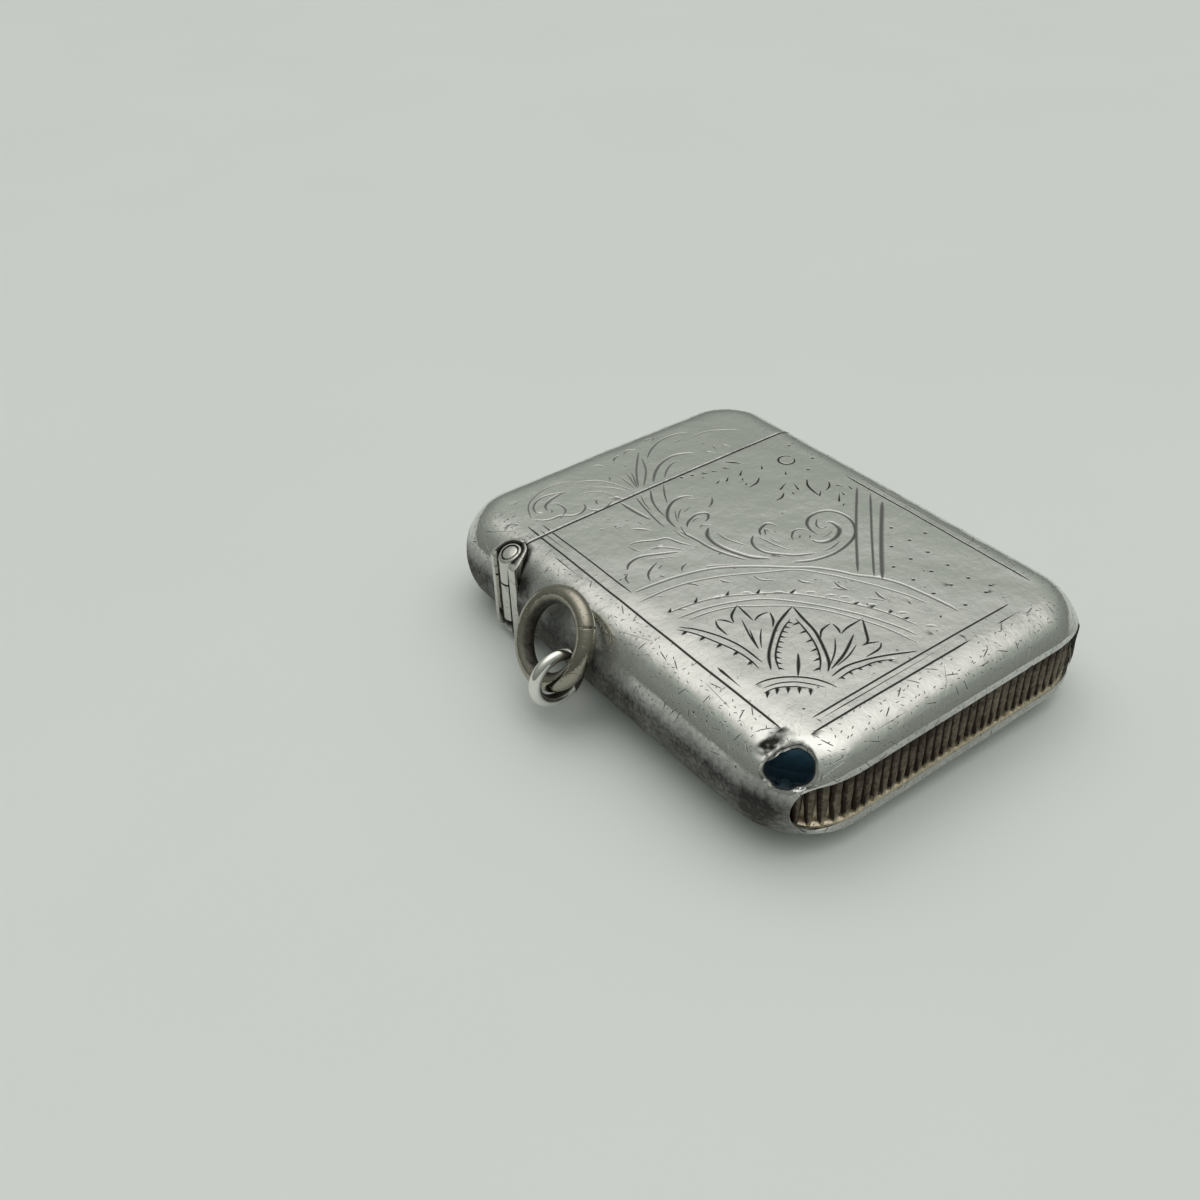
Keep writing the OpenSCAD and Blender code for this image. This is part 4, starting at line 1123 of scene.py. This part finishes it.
body_outline = arc_points(BODY_BOSS_R, 3.2, 66, 20) + BODY_BAR
lid_outline = arc_points(LID_BOSS_R, 2.9, 88, 26) + LID_BAR
NOTCH_ENDS = [(-2.5, -1.9), (-2.5, 1.6)]  # outside the case
notch = NOTCH_ENDS[:1] + [(NOTCH_GROW * x, -NOTCH_GROW * y) for x, y in body_outline[::-1]]
notch += [(NOTCH_GROW * x, NOTCH_GROW * y) for x, y in lid_outline] + NOTCH_ENDS[1:]
notch_cutter = loft("notch_cutter", [
    np.array([(PIN[0] + x, PIN[1] + y, z) for x, y in notch]) for z in (-1.0, 2 * HALF + 1.0)])


# %% Cut the sheets
def plain_mesh(piece):
    """Replaces a piece's mesh by the result of its modifiers and clears them."""
    graph = bpy.context.evaluated_depsgraph_get()
    result = bpy.data.meshes.new_from_object(piece.evaluated_get(graph))
    piece.modifiers.clear()
    old, piece.data = piece.data, result
    bpy.data.meshes.remove(old)
    result.name = piece.name


def carve(piece, *cutters):
    """Cuts the cutters out of a piece."""
    for cutter in cutters:
        cut = piece.modifiers.new(cutter.name, "BOOLEAN")
        cut.operation, cut.solver, cut.object = "DIFFERENCE", "EXACT", cutter
        cut.use_self = cutter is notch_cutter
    plain_mesh(piece)
    print(piece.name, len(piece.data.polygons), "faces after cutting")


carve(body_front, slot_cutter, hole_cutter, notch_cutter)
carve(body_back, slot_cutter, notch_cutter)
carve(lid_front, notch_cutter)
carve(lid_back, notch_cutter)
for cutter in (slot_cutter, hole_cutter, notch_cutter):
    bpy.data.objects.remove(cutter)

# %% [markdown]
# ## Tarnish, dirt and painted shade
# Silver blackens where no cloth or pocket rubs it: along the seam, in the hole's edge and in the
# torn pit. The same marks paint shade: behind the rings and low on the hinge-side wall, with
# tarnish, in the crevice round the hinge, with dirt, and a dark reflection low on the roll over the
# striker. Painting this by hand would not follow a change of shape, so each stain is a soft spot or
# a rule of place, and the strongest one wins.

# %% Stains and painted shade of the sheets
# Middle, reach and strength of the soft dark spots on the walls: tarnish, with painted shade behind
# the rings and in the hollow beside the hinge.
STAIN_AND_SHADE_SPOTS = [
    ((-17.2, 1.2, 4.5), 3.2, 1.0), ((-17.2, -2.4, 4.2), 3.4, 0.95), ((-17.0, -6.0, 3.8), 3.0, 0.8),
    ((-16.8, 5.5, 4.6), 3.6, 0.95), ((-16.2, 10.4, 6.4), 1.9, 1.1), ((-16.2, 12.8, 5.0), 2.6, 0.5),
    ((-16.2, -20.4, 4.5), 1.6, 0.6), ((16.2, -20.4, 4.5), 1.6, 0.5),
]


def spots_of(piece):
    """Points of a piece in millimetres."""
    spots = np.empty(len(piece.data.vertices) * 3)
    piece.data.vertices.foreach_get("co", spots)
    return spots.reshape(-1, 3) / MM


def sheet_stain_and_shade(spots):
    """How dark a sheet is at each point, from dirt and from painted shade."""
    x, y, z = spots.T
    layers = [strength * np.exp(-(np.linalg.norm(spots - middle, axis=1) / reach) ** 2)
              for middle, reach, strength in STAIN_AND_SHADE_SPOTS]
    # Hinge-side wall, darker towards the bottom: tarnish, and painted shade where the wall reflects
    # the case's shadow on the table.
    layers.append((0.12 + 0.76 * ramp(-x, 13.0, 3.4)) * ramp(z, 7.2, -2.2))  # hinge-side wall
    # Roll over the striker, darker low down: a painted dark reflection.
    layers.append(0.26 * ramp(-y, 20.6, 1.2) * ramp(z, 8.4, -1.4))  # roll over the striker
    from_seam = np.abs(y - SEAM_Y) - SEAM_GAP / 2
    layers.append(0.55 * np.exp(-(from_seam / SEAM_EDGE) ** 2))
    # Dirt and painted shade in the crevice round the hinge bosses.
    at_hinge = np.hypot(x - PIN[0], y - PIN[1])
    layers.append(np.clip(1.3 - (at_hinge - LID_BOSS_R) / 0.3, 0, 1))
    near, gap, pit, ridge = hole_wear(spots)
    layers.append(np.clip(pit * (1.15 + 1.0 * waves(spots, 2.9)), 0, 1))
    edge = np.where(near, np.exp(-(gap / 0.11) ** 2), 0)
    return np.maximum(np.maximum.reduce(layers) * (1 - ridge), 0.9 * edge)


print("stained spots on the walls:", len(STAIN_AND_SHADE_SPOTS))

# %% Write the dirt and painted shade on the sheets, and smooth-shade them
FACE_FROM = 8.0  # the cuts lie above this height
HANDLED_X, HANDLED_END, HANDLED_LID, HANDLED_RUN = 12.9, 18.2, 19.6, 1.2


def soil(piece, cuts, is_sheet):
    """Writes the stain, cut and lay of a piece on its points."""
    spots = spots_of(piece)
    x, y, z = spots.T
    clean = np.zeros(len(spots))
    stain_and_shade = sheet_stain_and_shade(spots) if is_sheet else clean
    cut = np.clip(cut_depth(x, y, cuts)[1] * (z > FACE_FROM), 0, 1) if cuts else clean
    past_end = np.maximum(-y - HANDLED_END, 0.6 * (y - HANDLED_LID))
    past = np.maximum(np.abs(x) - HANDLED_X, past_end)
    handled = 0.14 + 0.86 * np.clip(past / HANDLED_RUN, 0, 1)
    down = z - 2 * HALF
    lay = np.stack([x - x / SIDE * down, y - y / END * down, handled], 1)
    for name, values in (("stain_and_shade", stain_and_shade), ("cut", cut)):
        piece.data.attributes.new(name, "FLOAT", "POINT").data.foreach_set("value", values)
    layer = piece.data.attributes.new("lay", "FLOAT_VECTOR", "POINT")
    layer.data.foreach_set("vector", lay.ravel())


def restain(piece, values):
    """Writes a piece's own stain over the one it has."""
    piece.data.attributes["stain_and_shade"].data.foreach_set("value", values)


def crisp(piece, angle):
    """Smooth shading that stays sharp at edges steeper than the angle."""
    with opened(piece.data) as shape:
        bmesh.ops.triangulate(shape, faces=[f for f in shape.faces if len(f.verts) > 4])
    piece.data.shade_smooth()
    piece.data.set_sharp_from_angle(angle=math.radians(angle))


sheets = [(body_front, body_cuts), (lid_front, lid_cuts), (body_back, []), (lid_back, [])]
for piece, cuts in sheets:
    crisp(piece, 15)
    soil(piece, cuts, True)
print("sheets stained:", len(sheets))

# %% [markdown]
# ## The hinge
# A half-round boss is let into the corner of the sheets on each side of the seam, and three tubes
# of equal width stand in a groove between them: the long one belongs to the lid, the others to the
# body. The pin ends as a disc on top. The bosses are prisms with softened edges, the tubes and the
# pin are turned from a profile. A silversmith files all their ends together to the round of the
# case, so here their upper and lower ends are brought down to one round as well.

# %% Turned and joined pieces
AXIS = 0.0005  # a profile ends this far from its axis, and the weld closes it


def turned(name, profile, closed, place, material, count=64):
    """Revolves a profile of (radius, height) millimetres about Z and puts it in place."""
    turns = np.linspace(0, 2 * math.pi, count, endpoint=False)
    corners = [tuple(place @ Vector((r * math.cos(a), r * math.sin(a), z)))
               for r, z in profile for a in turns]
    faces = quads(len(profile), count, closed)
    return face_out(weld(name, corners, faces, [0] * len(faces), [material]))


def finish_with(piece, material):
    """Gives the whole piece one finish."""
    piece.data.materials.clear()
    piece.data.materials.append(material)


def joined(name, pieces, angle, material):
    """One object from several, with crisp edges, clean soil numbers and one finish."""
    mesh = bpy.data.meshes.new(name)
    shape = bmesh.new()
    for piece in pieces:
        shape.from_mesh(piece.data)
        bpy.data.objects.remove(piece)
    shape.to_mesh(mesh)
    shape.free()
    whole = placed(name, mesh)
    crisp(whole, angle)
    soil(whole, [], False)
    finish_with(whole, material)
    return whole


# %% Dirt, painted shade and rounded ends of the hinge
TUBE_R, TURN_R, PIN_R, JOINT_GAP = 1.0, 1.1, 0.7, 0.03
HINGE_LOW, HINGE_TOP, JOINT_LOW, JOINT_HIGH = 0.0, 2 * HALF, 1.9, 5.8
ROUND_X = PIN[0] + BOSS_X
BLACK = 1.2
at_pin = Matrix.Translation((PIN[0], PIN[1], 0))


def joint_dirt_and_groove_shade(piece, is_tube):
    """Blackens a tube or pin at its joints and the rim, as dirt, and a boss in its groove and a
    tube on its flanks, as painted shade.
    """
    x, y, z = spots_of(piece).T
    aside = y - PIN[1]
    reach = np.hypot(x - PIN[0], aside)
    joints = np.minimum(np.abs(z - JOINT_LOW), np.abs(z - JOINT_HIGH)) < 0.1
    # The flanks of a tube that lie in the groove get painted shade.
    groove = ((aside > 0.8) | (aside < -0.58)) & (z < 7.6)
    rim = np.abs(reach - PIN_R) < 0.045
    restain(piece, BLACK * (joints | groove | rim if is_tube else reach < TURN_R + 0.2))


def dressed(piece):
    """Brings the flat ends of an upright hinge piece to the round of the case's side."""
    with opened(piece.data) as shape:
        for x in np.arange(PIN[0] - TUBE_R, ROUND_X, 0.15):
            parts = shape.verts[:] + shape.edges[:] + shape.faces[:]
            bmesh.ops.bisect_plane(shape, geom=parts, plane_co=(x * MM, 0, 0), plane_no=(1, 0, 0))
        for point in shape.verts:
            z = point.co.z / MM
            top = HALF + math.sqrt(HALF ** 2 - (point.co.x / MM - ROUND_X) ** 2)
            if z > JOINT_HIGH:
                z = JOINT_HIGH + (z - JOINT_HIGH) * (top - JOINT_HIGH) / (HINGE_TOP - JOINT_HIGH)
            elif z < JOINT_LOW:
                z = JOINT_LOW - (JOINT_LOW - z) * (JOINT_LOW - 2 * HALF + top) / JOINT_LOW
            point.co.z = z * MM
    return piece


# %% Bosses
BOSS_EDGE, SEAT_IN, SEAT_OUT = 0.16, 0.04, 0.06


def boss(name, outline, sign, seat_low, seat_high):
    """Half-round boss on one side of the seam, with the solder that holds its own tube."""
    seam_turn = math.degrees(math.asin(SEAM_GAP / 2 / TURN_R))
    plan = outline + [(-TUBE_R, TURN_R)] + arc_points(TURN_R, 90, seam_turn, 24)
    seat = arc_points(TURN_R + SEAT_OUT, 8, 88, 24) + arc_points(TUBE_R - SEAT_IN, 88, 8, 24)
    block, solder = (
        loft(name + part, [
            np.array([tuple(at_pin @ Vector((x, sign * y, z))) for x, y in points]) for z in ends])
        for part, points, ends in (
            ("block", plan, (HINGE_LOW, HINGE_TOP)), ("seat", seat, (seat_low, seat_high))))
    edge = block.modifiers.new("edge", "BEVEL")
    edge.width, edge.segments = BOSS_EDGE * MM, 4
    edge.limit_method, edge.angle_limit = "ANGLE", math.radians(40)
    plain_mesh(block)
    whole = joined(name, [dressed(block), dressed(solder)], 28, hinge_silver)
    joint_dirt_and_groove_shade(whole, False)
    return whole


lid_seat = (JOINT_LOW + JOINT_GAP, JOINT_HIGH - JOINT_GAP)
lid_boss = boss("lid_hinge_boss", lid_outline, 1, *lid_seat)
body_boss = boss("body_hinge_boss", body_outline, -1, JOINT_HIGH + JOINT_GAP, HINGE_TOP - 0.15)

# %% Tubes and pin
def on_pin(name, profile, closed, angle):
    """Piece turned about the pin's axis, with its ends rounded and its joints dirty."""
    blank = dressed(turned(name + "_blank", profile, closed, at_pin, hinge_silver))
    whole = joined(name, [blank], angle, hinge_silver)
    joint_dirt_and_groove_shade(whole, True)
    return whole


def tube(name, low, high, bore, top_edge, edge=0.06):
    """Hinge tube with eased ends."""
    profile = [
        (bore, low), (TUBE_R - edge, low), (TUBE_R - 0.3 * edge, low + 0.3 * edge),
        (TUBE_R, low + edge), (TUBE_R, low + edge + 0.06), (TUBE_R, high - top_edge - 0.06),
    ]
    profile += [(TUBE_R - top_edge * (1 - math.cos(a)), high - top_edge * (1 - math.sin(a)))
                for a in np.linspace(0, math.pi / 2, 6)]
    return on_pin(name, profile + [(bore, high)], True, 35)


upper_low, lower_high = JOINT_HIGH + JOINT_GAP, JOINT_LOW - JOINT_GAP
upper_tube = tube("body_hinge_tube_upper", upper_low, HINGE_TOP, PIN_R + 0.01, 0.16)
lower_tube = tube("body_hinge_tube_lower", HINGE_LOW, lower_high, PIN_R + 0.01, 0.06)
lid_tube = tube("lid_hinge_tube", *lid_seat, PIN_R + 0.03, 0.06)
PIN_PROFILE = [
    (AXIS, HINGE_LOW), (0.6, HINGE_LOW), (0.68, HINGE_LOW + 0.06), (0.69, 4.0), (0.69, 8.84),
    (0.66, 8.94), (0.58, 8.99), (0.3, 9.02), (AXIS, 9.03),
]
hinge_pin = on_pin("hinge_pin_rod", PIN_PROFILE, False, 40)
print("hinge: 2 bosses, 3 tubes, 1 pin")

# %% [markdown]
# ## The two rings
# The small ring is bright wire, bent to a circle and soldered upright to the side with a flared
# foot. The large ring is thicker, duller wire, closed with a butt joint that still shows, and
# hangs in the small one, leaning on the wall. A ring is a circle carried round a circle.

# %% A ring of wire
WIRE_POINTS, RING_POINTS, LUMPS = 40, 180, 0.012
JOINT_CUT, JOINT_REACH, JOINT_POINTS = 0.17, 2.6, 25


def turn_about(axis, degrees):
    """Turning matrix about X, Y or Z."""
    return Matrix.Rotation(math.radians(degrees), 4, axis)


def wire_ring(name, ring_r, wire_r, place, material, joint_turn=None):
    """Torus of wire; a joint is a fine groove across the wire at one turn."""
    turns = list(np.linspace(0, 360, RING_POINTS, endpoint=False))
    if joint_turn is not None:
        close = np.linspace(-JOINT_REACH, JOINT_REACH, JOINT_POINTS)
        turns = sorted(turns + [joint_turn + d for d in close])
    corners = []
    for turn in turns:
        c, s = math.cos(math.radians(turn)), math.sin(math.radians(turn))
        ease = 0 if joint_turn is None else JOINT_CUT * math.exp(-(turn - joint_turn) ** 2)
        lump = 1 + LUMPS * noise.noise(Vector((2 * c, 2 * s, wire_r)))
        for a in np.linspace(0, 2 * math.pi, WIRE_POINTS, endpoint=False):
            size = wire_r * lump * (1 - ease * max(0, math.cos(a)) ** 0.5)
            out = ring_r + size * math.cos(a)
            corners.append(tuple(place @ Vector((out * c, out * s, size * math.sin(a)))))
    faces = [q[:1] + q[:0:-1] for q in quads(len(turns), WIRE_POINTS, True)]
    return weld(name, corners, faces, [0] * len(faces), [material])


def from_axis(piece, place):
    """Distance of a ring's points from the ring's own axis."""
    home = place.inverted()
    return np.array([(home @ (point.co / MM)).xy.length for point in piece.data.vertices])


# %% The rings in place
RING_AT = Vector((-19.8, 1.2, HALF))
FIXED_R, FIXED_WIRE, CARRY_R, CARRY_WIRE, CARRY_HANG = 2.1, 0.5, 3.5, 0.78, 3.15
LEAN, HANG, FOOT_FROM = 32, 50, -18.5
FOOT_PROFILE = [
    (AXIS, -0.25), (1.15, -0.25), (1.12, -0.02), (0.93, 0.08), (0.74, 0.22), (0.62, 0.38),
    (0.54, 0.56), (0.46, 0.72), (AXIS, 0.78),
]
upright_place = Matrix.Translation(RING_AT) @ turn_about("X", 90)
foot_place = Matrix.Translation((-SIDE, RING_AT.y, RING_AT.z)) @ turn_about("Y", -90)
lean_place = Matrix.Translation(RING_AT) @ turn_about("Y", LEAN) @ turn_about("X", HANG)
lean_place = lean_place @ Matrix.Translation((0, CARRY_HANG, 0)) @ turn_about("Y", 90)
fixed_loop = wire_ring("fixed_loop", FIXED_R, FIXED_WIRE, upright_place, bright_silver)
foot = turned("solder_foot", FOOT_PROFILE, False, foot_place, bright_silver)
fixed_ring = joined("fixed_ring_wire", [fixed_loop, foot], 35, bright_silver)
carry_loop = wire_ring("carrying_loop", CARRY_R, CARRY_WIRE, lean_place, dull_silver, 180.0)
carrying_ring = joined("carrying_ring_wire", [carry_loop], 40, dull_silver)
# Dirt sits on the solder foot. The inner side of both rings is darkened: painted dark reflection on
# the small ring, painted shade with dirt on the large one.
on_foot = spots_of(fixed_ring)[:, 0] > FOOT_FROM
ring_inner_shade = 0.95 * ramp(from_axis(fixed_ring, upright_place), 1.82, -0.1)
restain(fixed_ring, np.maximum(BLACK * on_foot, ring_inner_shade))
restain(carrying_ring, 0.85 * ramp(from_axis(carrying_ring, lean_place), 3.4, -0.5))
print("rings: wire of", 2 * FIXED_WIRE, "and", 2 * CARRY_WIRE, "mm")

# %% [markdown]
# ## The striker
# Behind the window lies a strip rolled with upright ribs, brown from struck matches. The ribs
# repeat along a path, so Geometry Nodes place them: a rod of oval section is put on evenly spaced
# points of the path and turned along it. The strip itself is a plain band behind the ribs, with a
# sloping sill at their feet that catches the light.

# %% Path of the strip
STRIP_R, STRIP_WALL, STRIP_HIGH, STRIP_TURN = 5.462, 0.6, 4.8, 62
SILL = [(-0.2, -2.7), (0.44, -2.7), (0.44, -2.02), (0.02, -1.72), (-0.2, -1.72)]


def strip_path(radius, turn=STRIP_TURN, step=3):
    """Plan path of the strip from corner to corner; radius sets its distance from the face."""
    turns = [math.radians(a) for a in spaced(turn, 0, step)]
    left = [(-BASE_X - radius * math.sin(a), BASE_Y - radius * math.cos(a)) for a in turns]
    middle = [(x, BASE_Y - radius) for x in spaced(-BASE_X, BASE_X, 0.8)]
    return left + middle + [(-x, y) for x, y in ([(-BASE_X, BASE_Y - radius)] + left[::-1])]


def along_strip(name, section):
    """Solid that carries a section of (distance out, height) along the strip."""
    walks = [strip_path(STRIP_R + out) for out, _ in section]
    heights = [HALF + rise for _, rise in section]
    return loft(name, [
        np.array([(*spot, z) for spot, z in zip(spots, heights)]) for spots in zip(*walks)])


half_strip = STRIP_HIGH / 2
band = along_strip("striker_band", [
    (0, -half_strip), (-STRIP_WALL, -half_strip), (-STRIP_WALL, half_strip), (0, half_strip)])
sill = along_strip("striker_sill", SILL)
rib_line = bpy.data.curves.new("rib_line", "CURVE")
rib_line.dimensions = "3D"
rib_points = strip_path(STRIP_R - 0.05, 56, 2)
spline = rib_line.splines.new("POLY")
spline.points.add(len(rib_points) - 1)
for point, (x, y) in zip(spline.points, rib_points):
    point.co = (x * MM, y * MM, HALF * MM, 1)
rib_path = placed("rib_path", rib_line)
print("rib path:", len(rib_points), "points")

# %% Ribs by Geometry Nodes
RIB_SIZES = [
    ("Rib count", "NodeSocketInt", 36), ("Rib height", "NodeSocketFloat", 4.0 * MM),
    ("Rib half width", "NodeSocketFloat", 0.42 * MM), ("Rib rise", "NodeSocketFloat", 0.50 * MM),
    ("Wear", "NodeSocketFloat", 0.10 * MM),
]
ribs = bpy.data.node_groups.new("upright_ribs", "GeometryNodeTree")
for way in ("INPUT", "OUTPUT"):
    ribs.interface.new_socket("Geometry", in_out=way, socket_type="NodeSocketGeometry")
rib_inputs = {
    ribs.interface.new_socket(label, in_out="INPUT", socket_type=kind).identifier: value
    for label, kind, value in RIB_SIZES}
given = add(ribs, "NodeGroupInput").outputs
points = add(ribs, "GeometryNodeCurveToPoints",
             {"Curve": given["Geometry"], "Count": given["Rib count"]}, mode="COUNT")
turn = add(ribs, "FunctionNodeAlignRotationToVector", {"Vector": points.outputs["Tangent"]},
           axis="X", pivot_axis="Z")
# One rod: an oval section along an upright stick, slimmer at its foot.
half_high = add(ribs, "ShaderNodeMath", {0: given["Rib height"], 1: 0.5}, operation="MULTIPLY")
top = add(ribs, "ShaderNodeCombineXYZ", {"Z": half_high})
bottom = add(ribs, "ShaderNodeVectorMath", {0: top, 3: -1.0}, operation="SCALE")
stick = add(ribs, "GeometryNodeCurvePrimitiveLine", {"Start": bottom, "End": top})
stick = add(ribs, "GeometryNodeResampleCurve", {"Curve": stick, "Count": 14})
oval = add(ribs, "GeometryNodeCurvePrimitiveQuadrilateral", {"Width": 2.0, "Height": 2.0})
oval = add(ribs, "GeometryNodeFilletCurve", {"Curve": oval, "Count": 5, "Radius": 0.75},
           mode="POLY")
rod = add(ribs, "GeometryNodeCurveToMesh",
          {"Curve": stick, "Profile Curve": oval, "Fill Caps": True})
sizes = add(ribs, "ShaderNodeCombineXYZ",
            {"X": given["Rib half width"], "Y": given["Rib rise"], "Z": 1.0})
rod = add(ribs, "GeometryNodeTransform", {"Geometry": rod, "Scale": sizes})
here = add(ribs, "GeometryNodeInputPosition")
along = add(ribs, "ShaderNodeSeparateXYZ", {"Vector": here}).outputs
narrow = add(ribs, "ShaderNodeMapRange", {
    "Value": along["Z"], "From Min": -2.0 * MM, "From Max": 0.0, "To Min": 0.55, "To Max": 1.0})
slim = add(ribs, "ShaderNodeMath", {0: along["X"], 1: narrow}, operation="MULTIPLY")
slim = add(ribs, "ShaderNodeCombineXYZ", {"X": slim, "Y": along["Y"], "Z": along["Z"]})
rod = add(ribs, "GeometryNodeSetPosition", {"Geometry": rod, "Position": slim})
# Rods on the path, then worn a little out of true.
rods = add(ribs, "GeometryNodeInstanceOnPoints",
           {"Points": points, "Instance": rod, "Rotation": turn})
solid = add(ribs, "GeometryNodeRealizeInstances", {"Geometry": rods})
rough = add(ribs, "ShaderNodeTexNoise", {"Scale": 1 / (0.7 * MM), "Detail": 2.0}).outputs["Color"]
push = add(ribs, "ShaderNodeVectorMath", {0: rough, 1: (0.5, 0.5, 0.5)}, operation="SUBTRACT")
push = add(ribs, "ShaderNodeVectorMath", {0: push, 3: given["Wear"]}, operation="SCALE")
worn = add(ribs, "GeometryNodeSetPosition", {"Geometry": solid, "Offset": push})
painted = add(ribs, "GeometryNodeSetMaterial", {"Geometry": worn, "Material": striker_silver})
add(ribs, "NodeGroupOutput", {"Geometry": painted})
print("rib tree:", len(ribs.nodes), "nodes")

# %% The striker as one piece
rib_maker = rib_path.modifiers.new("upright_ribs", "NODES")
rib_maker.node_group = ribs
for identifier, value in rib_inputs.items():
    rib_maker[identifier] = value
graph = bpy.context.evaluated_depsgraph_get()
rib_mesh = bpy.data.meshes.new_from_object(rib_path.evaluated_get(graph))
rib_path.modifiers.clear()
bpy.data.objects.remove(rib_path)
striker = joined("striker_ribs", [placed("ribs", rib_mesh), band, sill], 40, striker_silver)
# Painted shade with match dirt lies between the ribs and on their flanks, and thickens from their
# feet to the upper lip, which overhangs them.
x, y, z = spots_of(striker).T
between_rib_shade = ramp(plan_depth(x, y), 0.87, 0.16)
lip_shade = 0.06 + 0.76 * ramp(z, HALF - 1.9, 0.6) + 0.14 * ramp(z, HALF + 0.8, 1.2)
leaning = np.abs([point.normal.x for point in striker.data.vertices])
# Rib flanks that turn across the strip get painted shade.
flanks = ramp(leaning, 0.45, 0.3) * (np.abs(x) < 15)
on_sill = z < HALF - 1.7
restain(striker, np.where(on_sill, lip_shade, np.maximum.reduce([between_rib_shade, flanks, lip_shade])))
print("striker:", len(striker.data.polygons), "faces")

# %% [markdown]
# ## Fit the pieces to the bodies
# The collar in the mouth keeps its imported solid and takes a handled silver finish. Every other
# piece stands for its solid and moves with that solid's body, so the lid and the ring swing as
# they do in the imported model.

# %% Bodies of the pieces, and the solids they stand for
FITTED = [
    (body_front, "body", "body_front", "engraved_silver"),
    (body_back, "body", "body_back", "plain_silver"),
    (lid_front, "lid", "lid_front", "engraved_silver"),
    (lid_back, "lid", "lid_back", "plain_silver"),
    (striker, "body", "striker_strip", "striker"),
    (lid_boss, "lid", "lid_bearer", "hinge_silver"),
    (body_boss, "body", "body_bearer", "hinge_silver"),
    (upper_tube, "body", "body_knuckle_upper", "hinge_silver"),
    (lower_tube, "body", "body_knuckle_lower", "hinge_silver"),
    (lid_tube, "lid", "lid_knuckle", "hinge_silver"),
    (hinge_pin, "body", "hinge_pin", "pin"),
    (fixed_ring, "body", "fixed_ring", "bright_ring"),
    (carrying_ring, "ring", "carrying_ring", "dull_ring"),
]
for piece, body, node, slot in FITTED:
    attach(piece, body)
    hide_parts(node)
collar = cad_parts["mouth_bezel"]
for place in collar.material_slots:
    place.material = collar_silver
